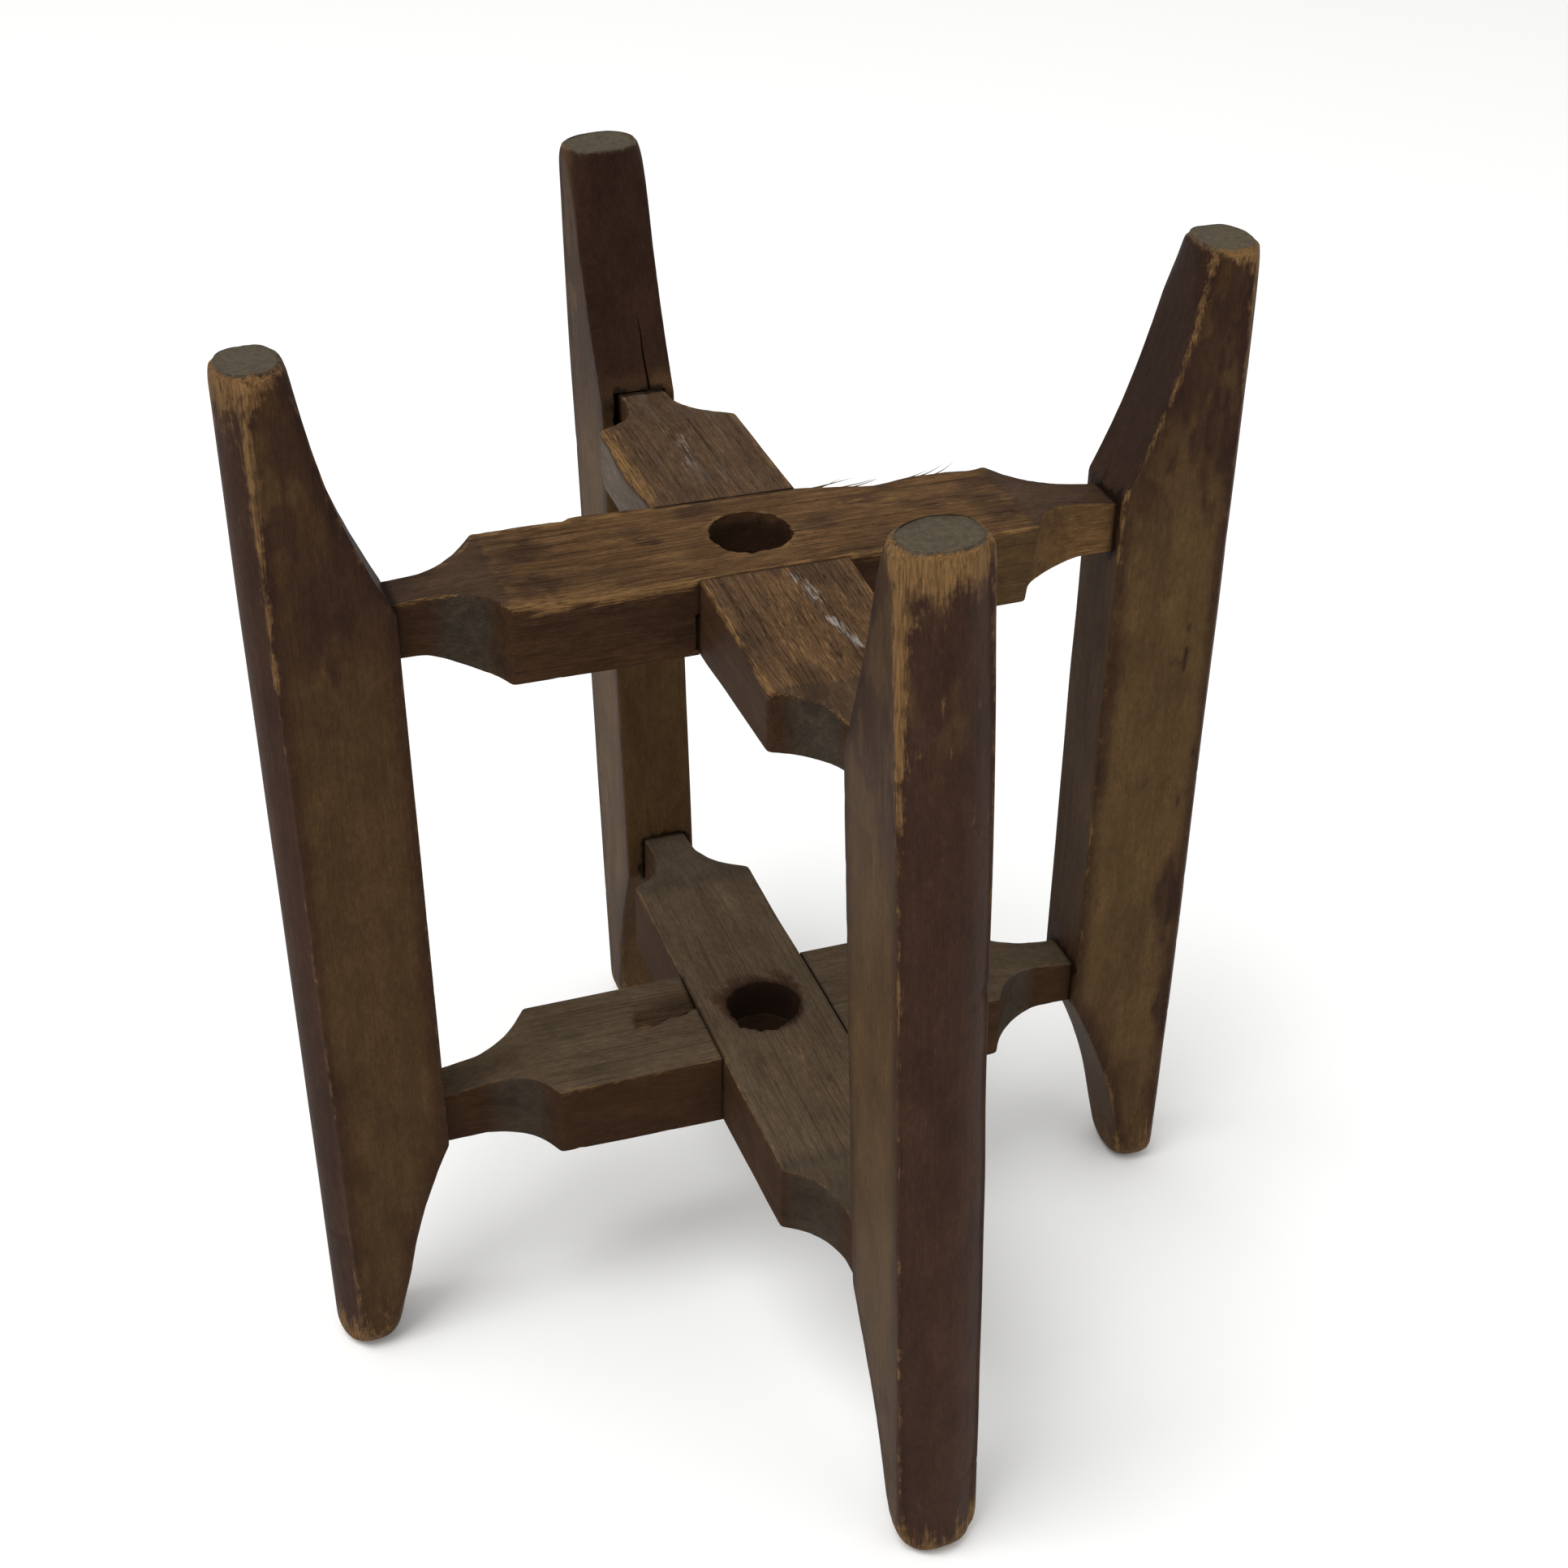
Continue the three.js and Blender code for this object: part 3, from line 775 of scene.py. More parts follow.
class Surface:
    """A placed piece's vertices in its own axes, and the colour and wear that build up on them."""

    def __init__(self, piece, matrix, seed, patch, streak):
        inverse = np.array(matrix.inverted())
        self.mesh = piece.data
        self.seed = seed
        self.world = vertex_positions(piece.data)
        self.points = moved(self.world, inverse)
        self.normals = vertex_normals(piece.data) @ inverse[:3, :3].T
        self.bare, self.grey, self.grime_and_shade, self.chalk = np.zeros((4, len(self.points)))
        self.patchy = 0.5 + 0.5 * self.layered(patch, 51)
        self.streaky = 0.5 + 0.5 * self.layered(streak, 52)

    def noise(self, cell, number):
        return noise(self.points, cell, self.seed + number)

    def layered(self, cell, number):
        return layered(self.points, cell, self.seed + number)

    def spot(self, x, reach_x, y, reach_y):
        """A soft oval place."""
        return bump_at(self.points[:, 0], x, reach_x) * bump_at(self.points[:, 1], y, reach_y)

    def tint(self, colour, amount):
        self.tone = mix(self.tone, colour, amount)

    def wear(self, amount):
        self.bare = np.maximum(self.bare, amount)

    # Darkens towards near-black: real grime, and painted shade in seams, creases and hollows.
    def add_grime_and_shade(self, amount):
        self.grime_and_shade = np.maximum(self.grime_and_shade, amount)

    def store(self):
        """Leaves the looks on the mesh as attributes, where the materials read them."""
        for name in ("bare", "grey", "grime_and_shade", "chalk", "lines"):
            values = np.clip(getattr(self, name), 0, 1)
            stored = self.mesh.attributes.new(name, "FLOAT", "POINT")
            stored.data.foreach_set("value", values.astype(np.float32))
        for name in ("tone", "grain"):
            stored = self.mesh.attributes.new(name, "FLOAT_VECTOR", "POINT")
            stored.data.foreach_set("vector", getattr(self, name).astype(np.float32).ravel())


def near_box(points, low, high):
    """Distance from each point to a box, 0 inside it."""
    outside = np.maximum(np.maximum(np.asarray(low) - points, points - np.asarray(high)), 0)
    return np.linalg.norm(outside, axis=1)


def paint_post(piece, post, matrix):
    s = Surface(piece, matrix, post["seed"], (9, 9, 34), (1.1, 1.1, 26))
    s.drop = post["height"] - s.points[:, 2]
    s.on_outer = ramp(s.normals[:, 0], 0.35, 0.8)
    s.on_inner = ramp(s.normals[:, 0], -0.35, -0.8)
    stain_post(s, post)
    wear_arrises(s, post)
    wear_ends(s, post)
    grime_and_shade_round_mortises(s, post)
    grey_head(s, post)
    s.lines = np.full(len(s.points), 0.3)
    s.grain = s.points + (s.seed, 0, 0)
    s.store()


def stain_post(s, post):
    """Purple-brown outside, dark brown inside, and sides rubbed paler between their edges."""
    r, _, z = s.points.T
    blotch = ramp(s.layered((6, 6, 15), 53), 0.0, 0.22)
    head_dark = ramp(s.drop, 74, 42)
    toe_dark = ramp(z, 62, 30)
    inset = np.minimum(r - inner_face(post, z), post["reach"] - r)
    middle = (ramp(inset + 4 * (s.patchy - 0.5), 0.8, 5.5)
              * (1 - 0.75 * head_dark) * (1 - 0.5 * toe_dark))
    pale = post["light"] * (middle * (0.6 + 0.5 * s.patchy) + 0.35 * blotch * ramp(s.drop, 6, 14))
    side = mix(STAIN_BROWN, OLIVE_BROWN, pale + 0.07 * (s.streaky - 0.5))
    side = mix(side, STAIN_DARK, head_dark * (0.6 - 0.5 * blotch) + 0.4 * ramp(inset, 3.5, 1))
    stain = np.zeros(len(z))
    for out, up, reach_out, reach_up, amount in SIDE_STAINS[post["name"]]:
        place = np.exp(-(((r - out) / reach_out) ** 2) - ((z - up) / reach_up) ** 2)
        stain += amount * ramp(place + 0.45 * s.layered((2.2, 2.2, 6), 57), 0.25, 0.7)
    stain *= 0.6 + 0.8 * s.streaky
    side = mix(mix(side, OLIVE_BROWN, stain), STAIN_DARK, -stain)
    outer = mix(STAIN_DARK, STAIN_PURPLE, 0.6 + 0.7 * (s.patchy - 0.5) + 0.25 * (blotch - 0.5))
    worn_through = ramp(s.layered((3.5, 3.5, 11), 58), 0.1, 0.7) * ramp(s.drop, 55, 18)
    outer = mix(outer, OLIVE_BROWN, 0.55 * worn_through)
    inner = mix(STAIN_DARK, STAIN_BROWN, (0.7 + 0.6 * s.patchy) * (1 - 0.85 * head_dark))
    rubbed_low = 0.3 if post["name"] == "post_back" else 0
    inner = mix(inner, OLIVE_BROWN, (rubbed_low + 0.5 * s.patchy) * (1 - head_dark))
    inner *= (1 - 0.15 * head_dark)[:, None]
    s.tone = mix(mix(side, outer, s.on_outer), inner, s.on_inner)


def wear_arrises(s, post):
    """Rubs the four long edges bare in broken strips, which widen up the head."""
    r, t, z = s.points.T
    outer_edge = (post["reach"], THICKNESS_OUTER / 2)
    inner_edge = (inner_face(post, z), THICKNESS_INNER / 2)
    for i, ((edge_r, edge_t), sign) in enumerate(product((outer_edge, inner_edge), (-1, 1))):
        worn = post["worn"][i]
        edge = np.stack([edge_r + 0 * z, sign * edge_t + 0 * z, z], axis=1)[:, None]
        squeeze_to_end(edge, end_size(post, z), end_centre(post))
        from_edge = np.hypot(r - edge[:, 0, 0], t - edge[:, 0, 1])
        lively = 0.5 + 0.5 * noise_along(z, 13, s.seed + 61 + i)
        broken = noise_along(z, 2.1, s.seed + 71 + i) + 0.6 * noise_along(z, 6, s.seed + 75 + i)
        broken = ramp(broken, -0.5, 0.6)
        down_head = 1 if i < 2 else 0.38 * (worn > 0.8)
        high = ramp(s.drop, 100, 25) * down_head
        top_strip = ramp(s.drop, 36, 12) * down_head
        width = 0.5 + 0.55 * worn * lively + 0.7 * worn * high + 0.7 * worn * top_strip
        strength = worn * (0.12 + 0.62 * broken * (0.4 + 0.6 * lively) + 0.35 * high)
        strength += 0.3 * worn * top_strip + 0.35 * worn * ramp(z, 40, 14) * broken
        s.wear(strength * np.exp(-((from_edge / width) ** 2)))


def wear_ends(s, post):
    """Rubs the head and toe bare, fraying down the fibres, and scuffs the outer face."""
    r, _, z = s.points.T
    outward = ramp(r, post["reach"] - 8, post["reach"] + 1)
    tip_outside, tip_inside, tip_strength = post["tip"]
    tip_reach = tip_inside + (tip_outside - tip_inside) * outward
    fray = ((s.streaky - 0.5) * 7 + (s.patchy - 0.5) * 12) * ramp(tip_reach, 2, 14)
    tip = ramp(s.drop + fray, tip_reach, 0.1 * tip_reach)
    s.wear(tip_strength * tip * (0.3 + 0.2 * outward + 0.35 * ramp(s.drop, 10, 4)))
    toe = ramp(z + 14 * (s.streaky - 0.5), 15, 2)
    s.wear(toe * (0.35 + 0.3 * outward))
    scuffs = ramp(s.layered((2.0, 2.0, 8), 81), 0.4, 0.8)
    s.wear(0.5 * scuffs * s.on_outer * (0.3 + 0.7 * ramp(s.drop, 80, 20)))


def grime_and_shade_round_mortises(s, post):
    """Dirt in patches, and grime with painted shade in the seams round the tenons and in broken rims
    at torn mortises.
    """
    s.add_grime_and_shade(0.35 * ramp(s.layered((5, 5, 22), 91), 0.35, 0.8))
    for level, arm, outward_end in arms_into(post):
        half, bottom, top = neck_section(arm, outward_end)
        own = moved(s.world, arm_matrix(arm).inverted())
        near = near_box(own, (-TENON_END, -half, bottom), (TENON_END, half, top))
        # A thin line of grime and painted shade where the tenon goes into the post.
        s.add_grime_and_shade(np.exp(-near / 0.6))
        # Broken dark rims at the mortise mouth: grime and painted shade of its gaps and splinters,
        # wider at torn mortises.
        torn = MORTISES.get((post["name"], level), PLAIN_MORTISE)[1]
        splintered = 0.5 * s.layered((1.5, 1.5, 3), 93) * (0.3 + 0.7 * s.on_inner)
        rim = ramp(np.exp(-near / (0.8 + 5 * torn * s.on_inner)) + splintered, 0.45, 0.8)
        s.add_grime_and_shade(0.95 * rim * (near < 7))
        if post["name"] == "post_back" and level == "upper":
            rubbed = bump_at(near, 2.4, 1.6) * ramp(own[:, 2], top - 1, top + 1)
            right_of_crack = ramp(s.world[:, 0], -1.5, 1.5)
            s.tint(WORN_ORANGE, rubbed * s.on_inner * (0.1 + 0.35 * right_of_crack))


def grey_head(s, post):
    """The end grain on the flat of the head has gone grey."""
    r, t, _ = s.points.T
    from_middle = end_reach(r - (end_centre(post) - post["tilt"]), t)
    flat = ramp(from_middle + 0.06 * (s.streaky - 0.5), post["crisp"] + 0.07, post["crisp"] - 0.09)
    s.grey = ramp(s.drop, 1.9, 0.6) * flat * (0.85 + 0.3 * s.patchy)
    s.bare *= 1 - 0.7 * s.grey
    s.grime_and_shade *= 1 - s.grey


def paint_arm(piece, arm, matrix):
    s = Surface(piece, matrix, arm["seed"], (20, 6, 6), (26, 1.0, 3))
    x, y, z = s.points.T
    s.on_top = ramp(s.normals[:, 2], 0.45, 0.85)
    s.on_side = ramp(np.abs(s.normals[:, 1]), 0.4, 0.7)
    s.past_end = np.maximum(x - arm["end"], arm["start"] - x)
    s.past_ragged_end = s.past_end + 1.4 * s.noise((3, 0.9, 3), 59) + 0.8
    rail = plan_rail(arm, (1.1, 1.1))
    s.from_side = np.interp(x, rail[:, 0], rail[:, 1]) - np.abs(y)
    s.from_edge = np.hypot(s.from_side, np.maximum(top_line(arm, x) - z, 0))
    s.lively = 0.5 + 0.5 * noise_along(x, 9, s.seed + 61)
    s.from_bore = np.hypot(*(s.world[:, :2] - arm["bore"]).T) - BORE_RADIUS
    s.ring = s.noise((2.5, 2.5, 3), 95)
    stain_arm(s, arm)
    wear_arm(s, arm)
    grime_and_shade_on_arm(s, arm)
    WEATHERING[arm["name"]](s, x, y, z)
    s.grain = np.stack([y + s.seed, z, x], axis=1)
    s.store()


def stain_arm(s, arm):
    """Brown sides, and a top that is worn orange on the upper cross and dusty on the lower one."""
    side = mix(STAIN_DARK, STAIN_BROWN, 0.45 + 0.7 * s.patchy)
    if arm["upper"]:
        top = mix(STAIN_BROWN, WORN_ORANGE, 0.2 + 0.85 * s.patchy * (0.7 + 0.4 * s.streaky))
        top = mix(top, STAIN_DARK, 0.6 * ramp(s.layered((12, 7, 6), 57), 0.12, 0.6))
        neck = mix(STAIN_DARK, UPPER_GREY_BROWN, 0.3 + 0.3 * s.patchy)
        top = mix(top, neck, 0.9 * ramp(s.past_ragged_end, -0.4, 0.5))
    else:
        top = mix(STAIN_BROWN, LOWER_DUSTY, 0.6 + 0.5 * s.patchy)
    if arm["name"] == "upper_arm_front_back":
        back = ramp(s.points[:, 0], 15, 22)
        top = mix(top, UPPER_GREY_BROWN, 0.35 + 0.3 * back)
        top = mix(top, STAIN_DARK, 0.35 * back * s.patchy)
    s.tone = mix(side, top, s.on_top)


def wear_arm(s, arm):
    """Bare wood along the top edges, at the ends of the flat top and in flecks. Grey scoops."""
    x, y, _ = s.points.T
    on_neck = ramp(s.past_end, -0.5, 1.0)
    broken = ramp(noise_along(x + 40 * (y > 0), 1.9, s.seed + 63), -0.4, 0.5)
    strength = (0.4 + 0.6 * broken * (0.5 + 0.5 * s.lively)) * (1 - 0.3 * on_neck)
    width = (0.8 + 0.8 * s.lively) * (1 - 0.45 * on_neck)
    s.wear((1.0 if arm["upper"] else 0.45) * strength * np.exp(-((s.from_edge / width) ** 2)))
    front, back = arm["flecks"]
    flecks = front + (back - front) * ramp(x, 15, 22)
    flecks *= ramp(0.5 * s.streaky + s.patchy, 0.45, 1.1)
    s.wear(flecks * s.on_top * (1 - on_neck))
    ends = bump_at(s.past_ragged_end, -0.5, 0.8) * s.on_top * (0.3 + 0.7 * broken)
    s.wear(arm["end_wear"] * ends)
    scoops = between(s.past_end, 0.1, 1.0, 15, 9) * s.on_side
    s.tint(SCOOP_GREY, scoops * (0.65 + 0.4 * s.patchy))
    s.lines = (0.3 + 0.7 * s.on_top) * (1 - 0.8 * on_neck) * (1 - scoops)


def grime_and_shade_on_arm(s, arm):
    """Dirt in patches, darker round and inside the bore, and grime with painted shade along the lap
    and where the necks go into the posts.
    """
    x, y, _ = s.points.T
    s.add_grime_and_shade(0.4 * ramp(s.layered((14, 4, 4), 91), 0.35, 0.8))
    reach = 0.5 if arm["upper"] else 1.6 + 1.1 * s.ring
    round_bore = 0.8 * np.exp(-np.maximum(s.from_bore, 0) / reach)
    s.add_grime_and_shade(np.where(s.from_bore < 0.25, 0.35 + 0.3 * s.patchy, round_bore))
    partner = ARMS[arm["partner"]]
    across = s.world[:, 0] if partner["turn"] == 90 else s.world[:, 1]
    half = partner["width"] / 2
    low_side, high_side = partner["offset"] - half, partner["offset"] + half + partner["swell"]
    # A thin line of grime and painted shade in the seams where the partner crosses.
    from_lap = np.minimum(np.abs(across - low_side), np.abs(across - high_side))
    seam = 0.25 + 0.6 * s.on_side if arm["over"] else 0.9
    s.add_grime_and_shade(np.exp(-from_lap / 0.5) * seam)
    # The over arm's edges in the lap darken with grime and painted shade of the seam, wider along the
    # lower cross's chipped edge.
    if arm["over"]:
        in_lap = ramp(np.abs(x - partner["offset"]), half + 1, half - 1)
        chipped = 0 if arm["upper"] else 0.7 * (y > 0) * (0.6 + noise_along(x, 1.7, s.seed + 99))
        reach = np.maximum(0.3 + chipped, 0.2)
        s.add_grime_and_shade(0.85 * np.exp(-np.maximum(s.from_side, 0) / reach) * in_lap)
    # Grime and painted shade where the neck goes into the post.
    before_post = POST_INNER_FACE - np.abs(x)
    s.add_grime_and_shade(0.8 * np.exp(-np.maximum(before_post, 0) / 0.8))


def weather_upper_across(s, x, y, z):
    """A pale lip round the bore, rubbed at the left of its front edge, smudged, one neck paler."""
    lip = bump_at(s.from_bore, 0.7, 0.7)
    lip *= ramp(s.ring + 0.4 * s.noise((0.9, 0.9, 3), 96), -0.2, 0.5)
    s.wear(0.9 * lip * s.on_top)
    rubbed = between(x, -56, -50, -16, -21) * bump_at(s.from_edge, 0, 2.4) * (y < 0)
    s.wear((0.7 + 0.4 * s.lively) * rubbed)
    s.add_grime_and_shade(0.6 * s.spot(-14, 7, -3, 9) * s.patchy * s.on_top)
    s.add_grime_and_shade(0.5 * s.spot(-17, 10, 13, 4) * s.patchy * s.on_top)
    s.add_grime_and_shade(0.5 * s.spot(30, 4, 11, 3) * s.on_top)
    s.wear(0.75 * s.spot(-27, 9, 5, 7) * ramp(s.noise((12, 0.8, 3), 55), 0.3, 0.7) * s.on_top)
    front = (y < 0) * s.on_side
    pale_neck = ramp(x, 53, 56) * front
    s.tint(OLIVE_BROWN, 0.8 * ramp(x, 30, 40) * front)
    s.tint(WORN_ORANGE, pale_neck * (0.35 + 0.5 * s.patchy))
    s.wear(pale_neck * 0.5 * ramp(x, 60, 70) * s.patchy)
    splinters = ramp(z, UPPER_TOP + 0.1, UPPER_TOP + 0.35) * (s.from_side < 2.5)
    s.wear(2 * splinters)


def weather_upper_deep(s, x, y, z):
    """Bare along its left edge at the back, a grey wane below, dusty, with three white smears."""
    left = ramp(y - 1.5 * (s.patchy - 0.5), 11, 14.5) * ramp(x, 18, 22)
    s.wear(s.on_top * left * (0.5 + 0.35 * s.patchy))
    waned = ramp(s.normals[:, 1], 0.3, 0.6) * ramp(x, 18, 21) * ramp(UPPER_TOP - z, 0.8, 2)
    waned *= ramp(s.past_end, 3, 0)
    s.tint(WANE_GREY, waned)
    s.bare *= 1 - waned
    front = bump_at(y, -2.4 + 0.158 * (x + 16), 1.2) * between(x, -15, -18, -29, -26)
    near = bump_at(y, -4.0 + 0.236 * (x + 33), 0.9) * between(x, -31.5, -33.5, -45.5, -43)
    back = bump_at(y, 1.4 - 0.1 * (x - 35), 2.6) * between(x, 26, 38, 57, 46)
    smears = (0.42 * front + 0.72 * near + 0.2 * back) * s.on_top
    s.chalk = smears * (0.75 + 0.4 * s.noise((3.5, 0.8, 3), 97))
    dusty = ramp(s.layered((26, 1.6, 4), 96), 0.1, 0.6) * ramp(x, 22, 30) * s.on_top
    s.tint(WANE_GREY, 0.45 * dusty)


def weather_lower_deep(s, x, y, z):
    """Stained round the bore, most of all behind it, with one long scratch."""
    aside, behind = (s.world[:, :2] - LOWER_BORE).T
    toward_back = ramp(behind - 0.4 * np.abs(aside), -6, 2)
    spread = (1.5 + 3.5 * toward_back) * (1 + 0.8 * s.layered((1.6, 1.6, 3), 98))
    s.tint(BORE_STAIN, 0.85 * ramp(s.from_bore, spread, 0.4 * spread))
    s.add_grime_and_shade(0.8 * ramp(s.from_bore, 0.45 * spread, 0) * (0.3 + 0.7 * toward_back))
    scratch = bump_at(y, -3.6 - 0.25 * (x + 14), 0.45) * between(x, -10, -13, -27, -24)
    s.wear(0.55 * scratch * s.on_top)
    s.tint(SCOOP_GREY, 0.5 * ramp(s.past_end, -6, -1) * s.on_top)


def weather_lower_across(s, x, y, z):
    """Dark torn fibres and painted shade in the hollow where a sliver has come out, a painted shadow
    line along its near wall, and a few loose bits.
    """
    torn, from_edge = torn_area(x, y, s.points)
    torn = torn * ramp(z, LOWER_TOP - 3.5, LOWER_TOP - 2.5)
    s.tint(STAIN_BROWN, 0.7 * ramp(torn, 0, 0.5))
    # Darker in the torn hollow: dark torn fibres and painted shade.
    s.add_grime_and_shade(torn * (0.2 + 0.6 * ramp(s.streaky, 0.35, 0.65)))
    # A painted shadow line along the hollow's steep near wall.
    s.add_grime_and_shade(0.95 * ramp(torn, 0.1, 0.4) * bump_at(from_edge, 0.6, 0.8))
    s.bare *= 1 - torn
    s.wear(0.8 * s.spot(-26, 3, 1.2, 1.6) * ramp(noise(s.points, (2.5, 1, 2), 409), 0, 0.4))
    s.lines = np.maximum(s.lines, torn)


WEATHERING = {
    "upper_arm_left_right": weather_upper_across,
    "upper_arm_front_back": weather_upper_deep,
    "lower_arm_front_back": weather_lower_deep,
    "lower_arm_left_right": weather_lower_across,
}


# ---- materials
class Shader:
    """A new material and its nodes. A value given as a socket is linked, anything else is set."""

    def __init__(self, name):
        self.material = bpy.data.materials.new(name)
        self.material.use_nodes = True
        self.tree = self.material.node_tree
        self.surface = self.tree.nodes["Principled BSDF"].inputs

    def give(self, socket, value):
        if isinstance(value, bpy.types.NodeSocket):
            self.tree.links.new(value, socket)
        else:
            socket.default_value = value

    def add(self, kind, inputs, **settings):
        made = self.tree.nodes.new(kind)
        for key, value in settings.items():
            setattr(made, key, value)
        for key, value in inputs.items():
            self.give(made.inputs[key], value)
        return made

    def attribute(self, name, output="Fac"):
        return self.add("ShaderNodeAttribute", {}, attribute_name=name).outputs[output]

    def math(self, operation, a, b=0.0, c=0.0, clamp=False):
        node = self.add("ShaderNodeMath", {0: a, 1: b, 2: c}, operation=operation, use_clamp=clamp)
        return node.outputs["Value"]

    def times(self, *factors):
        return reduce(lambda a, b: self.math("MULTIPLY", a, b), factors)

    def line(self, value, slope, offset, clamp=False):
        """value * slope + offset."""
        return self.math("MULTIPLY_ADD", value, slope, offset, clamp)

    def around(self, texture, contrast):
        """A texture's usual range, spread evenly round 1."""
        low = 1 - contrast / 2
        return self.add("ShaderNodeMapRange", {
            "Value": texture, "From Min": 0.3, "From Max": 0.7,
            "To Min": low, "To Max": low + contrast,
        }).outputs["Result"]

    def noise(self, grain, scale, detail, roughness, distortion=0.0):
        """Noise in the wood's axes; scale is features per millimetre (across, across, along)."""
        place = self.add("ShaderNodeVectorMath", {0: grain, 1: scale}, operation="MULTIPLY")
        texture = self.add("ShaderNodeTexNoise", {
            "Vector": place.outputs["Vector"], "Scale": 1.0, "Detail": detail,
            "Roughness": roughness, "Distortion": distortion,
        })
        return texture.outputs["Fac"]

    def blend(self, factor, a, b):
        a, b = (v if isinstance(v, bpy.types.NodeSocket) else (*v, 1) for v in (a, b))
        return self.add("ShaderNodeMix", {0: factor, 6: a, 7: b}, data_type="RGBA").outputs[2]

    def ragged(self, name, texture, spread, hardness):
        """A soft mask turned into a broken-edged one, by adding texture and then sharpening."""
        mask = self.attribute(name)
        shifted = self.line(texture, spread, -0.5 - spread / 2)
        broken = self.line(self.math("ADD", mask, shifted), hardness, 0.5, clamp=True)
        return self.times(broken, self.math("MULTIPLY", mask, 7.0, clamp=True))


def shades(colour, dark, light):
    return tuple(dark * c for c in colour), tuple(light * c for c in colour)


def wood_material(name, fibre_contrast, ring_contrast, line_depth, bump_depth, roughness, fibrous):
    """Old stained wood. Its tone and wear come from the mesh, its grain and fibres from noise.

    fibrous is how far the worn edges break up along the grain rather than into blotches.
    """
    wood = Shader(name)
    grain = wood.attribute("grain", "Vector")
    fibre = wood.noise(grain, (3.0, 3.0, 0.16), 6, 0.7)
    pores = wood.noise(grain, (6.0, 6.0, 0.9), 3, 0.6)
    rings = wood.noise(grain, (1.3, 0.4, 0.010), 4, 0.6, 0.3)
    contour = wood.noise(grain, (0.9, 0.3, 0.009), 1, 0.5)
    cloud = wood.noise(grain, (0.14, 0.14, 0.07), 5, 0.65)
    mottle = wood.noise(grain, (0.9, 0.9, 0.45), 5, 0.7)
    dashes = wood.noise(grain, (3.6, 3.6, 0.2), 3, 0.65)

    show_lines = wood.attribute("lines")
    from_line = wood.math("ABSOLUTE", wood.math("SUBTRACT", contour, 0.5))
    line = wood.times(wood.line(from_line, -32.0, 1.0, clamp=True), show_lines,
                      wood.line(mottle, 4.0, -1.3, clamp=True))
    dashes = wood.times(wood.line(dashes, -9.0, 4.0, clamp=True), show_lines)
    shade = wood.times(
        wood.around(fibre, fibre_contrast), wood.around(rings, ring_contrast),
        wood.around(cloud, 0.4), wood.around(mottle, 0.35), wood.around(pores, 0.35),
        wood.line(line, -line_depth, 1.0), wood.line(dashes, -0.9 * line_depth, 1.0),
    )
    tone = wood.add("ShaderNodeVectorMath", {0: wood.attribute("tone", "Vector")},
                    operation="SCALE")
    wood.give(tone.inputs["Scale"], shade)

    full_fibre = wood.line(fibre, 3.3, -1.15, clamp=True)
    full_mottle = wood.line(mottle, 3.3, -1.15, clamp=True)
    broken = wood.line(mottle, 1 - fibrous, wood.times(fibre, fibrous))
    bare = wood.ragged("bare", broken, 1.2 + 2.4 * fibrous, 1.7 + 1.0 * fibrous)
    dark_tan, light_tan = shades(TAN, 0.42, 1.15)
    tan = wood.blend(full_fibre, dark_tan, light_tan)
    tan = wood.blend(wood.times(line, line_depth), tan, dark_tan)
    color = wood.blend(bare, tone.outputs["Vector"], tan)
    grey = wood.ragged("grey", mottle, 0.8, 1.4)
    grey_tone = wood.blend(full_mottle, *shades(END_GRAIN_GREY, 0.75, 1.15))
    color = wood.blend(wood.times(grey, 0.9), color, grey_tone)
    # Grime and painted shade share one attribute and darken the colour towards near-black.
    grime_and_shade = wood.ragged("grime_and_shade", broken, 1.6, 1.8)
    color = wood.blend(wood.times(grime_and_shade, 0.85), color, GRIME_AND_SHADE)
    chalk = wood.ragged("chalk", broken, 3.0, 1.6)
    color = wood.blend(wood.times(chalk, 0.8), color, CHALK)
    wood.give(wood.surface["Base Color"], color)

    gloss = wood.line(fibre, 0.25, roughness - 0.12)
    gloss = wood.line(bare, 0.12, gloss)
    gloss = wood.line(grey, 0.12, gloss, clamp=True)
    wood.give(wood.surface["Roughness"], gloss)
    wood.give(wood.surface["Specular IOR Level"], 0.035)

    relief = wood.line(fibre, 0.5, wood.times(rings, 0.3))
    for layer, height in ((pores, 0.4), (mottle, 0.4), (line, -0.35), (bare, -0.2)):
        relief = wood.line(layer, height, relief)
    bump = wood.add("ShaderNodeBump", {"Height": relief, "Strength": 0.9, "Distance": bump_depth})
    wood.give(wood.surface["Normal"], bump.outputs["Normal"])
    return wood.material


# ---- the reel
MATERIALS = {
    "post_wood": wood_material("post_wood", 0.3, 0.1, 0.3, 0.0004, 0.5, 0.4),
    "upper_cross_wood": wood_material("upper_cross_wood", 0.7, 0.35, 0.7, 0.0006, 0.62, 0.75),
    "lower_cross_wood": wood_material("lower_cross_wood", 0.35, 0.15, 0.4, 0.0005, 0.72, 0.6),
}


def finish_piece(piece, node, slot):
    """Scales a finished piece to metres, gives it its material and puts it in its node's place."""
    set_positions(piece.data, vertex_positions(piece.data) * MM)
    piece.data.shade_smooth()
    piece.data.set_sharp_from_angle(angle=np.radians(42))
    piece.data.materials.clear()
    piece.data.materials.append(MATERIALS[slot])
    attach(piece, "root")
    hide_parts(node)


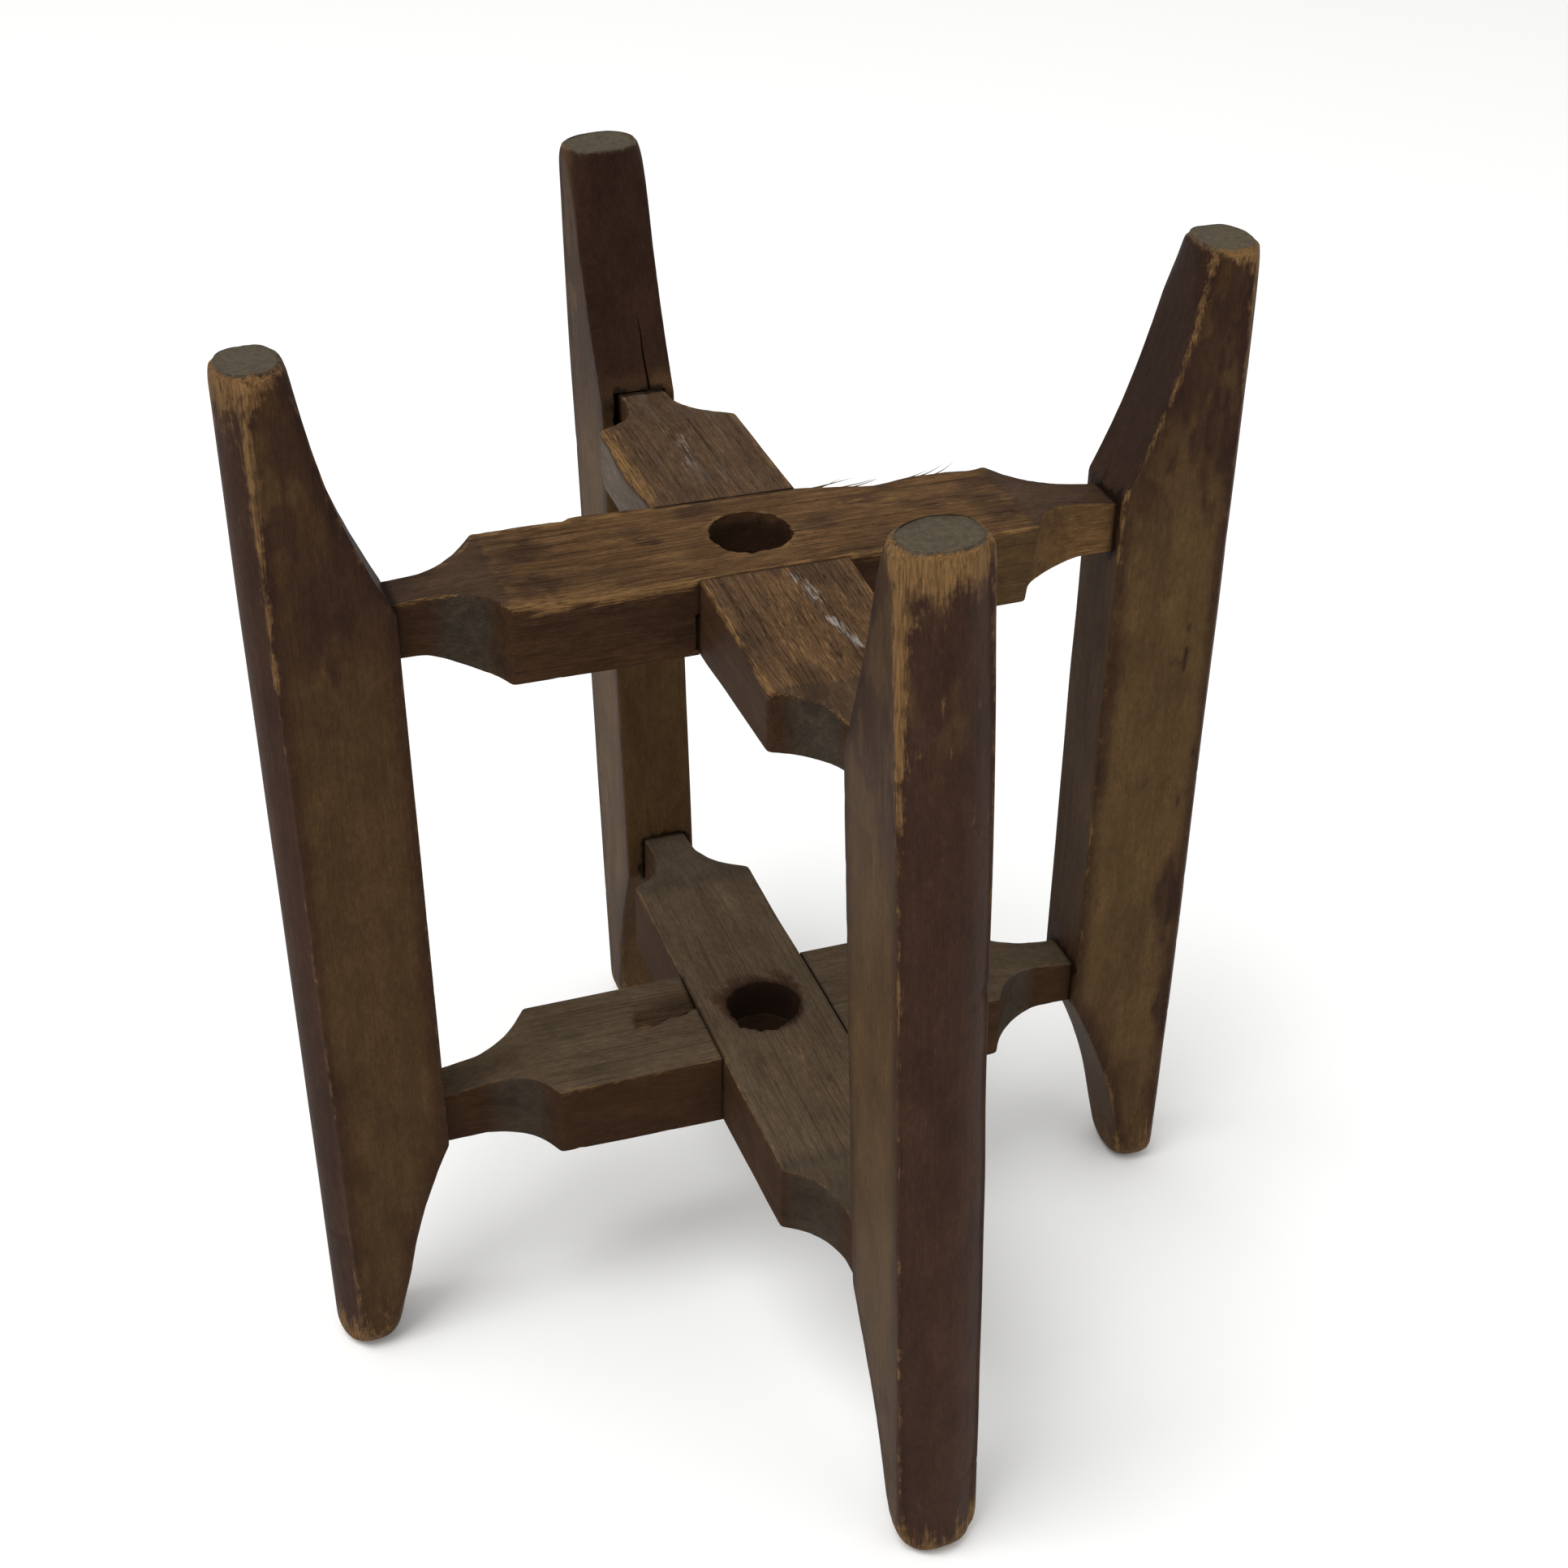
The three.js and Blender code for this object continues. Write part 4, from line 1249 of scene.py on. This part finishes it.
for post_name in POSTS:
    finish_piece(make_post(post_name), post_name, "post_wood")
for arm_name in ARMS:
    level = arm_name.split("_")[0]
    finish_piece(make_arm(arm_name), arm_name, level + "_cross_wood")


# ---- floor, light and camera
def make_floor():
    half = 4.0
    mesh = bpy.data.meshes.new("floor")
    corners = [(-half, -half, 0), (half, -half, 0), (half, half, 0), (-half, half, 0)]
    mesh.from_pydata(corners, [], [(0, 1, 2, 3)])
    floor = put("floor", mesh)
    material = bpy.data.materials.new("pale_floor")
    material.use_nodes = True
    shader = material.node_tree.nodes["Principled BSDF"]
    shader.inputs["Base Color"].default_value = (0.9, 0.9, 0.89, 1)
    shader.inputs["Roughness"].default_value = 0.9
    mesh.materials.append(material)


def make_light(name, place, size, power):
    """A square area light that faces the middle of the reel."""
    data = bpy.data.lights.new(name, "AREA")
    data.size = size
    data.energy = power
    light = put(name, data)
    middle = Matrix.Translation((0, 0, HEIGHT * MM / 2)).translation
    light.location = place
    light.rotation_euler = (light.location - middle).to_track_quat("Z", "Y").to_euler()


def make_world(brightness):
    world = bpy.data.worlds.new("studio")
    world.use_nodes = True
    background = world.node_tree.nodes["Background"]
    background.inputs["Color"].default_value = (1, 1, 1, 1)
    background.inputs["Strength"].default_value = brightness
    bpy.context.scene.world = world


CAMERA_PLACE = (-146.9, -413.2, 414.8)
CAMERA_YAW = 20.14
CAMERA_PITCH = -33.2
CAMERA_ROLL = 1.09
CAMERA_LENS = 56.71


def make_camera():
    data = bpy.data.cameras.new("camera")
    data.lens = CAMERA_LENS
    data.sensor_width = 36
    data.clip_start = 0.01
    camera = put("camera", data)
    turn = turned(-CAMERA_YAW, "Z")
    tip = turned(90 + CAMERA_PITCH, "X")
    roll = turned(CAMERA_ROLL, "Z")
    place = Matrix.Translation([c * MM for c in CAMERA_PLACE])
    camera.matrix_world = place @ turn @ tip @ roll
    bpy.context.scene.camera = camera


make_floor()
make_world(0.78)
make_light("key", (-0.8, -0.3, 1.9), 1.2, 28)
make_light("fill", (1.0, -1.4, 1.0), 1.5, 4)
make_camera()
bpy.context.scene.view_settings.view_transform = "Standard"
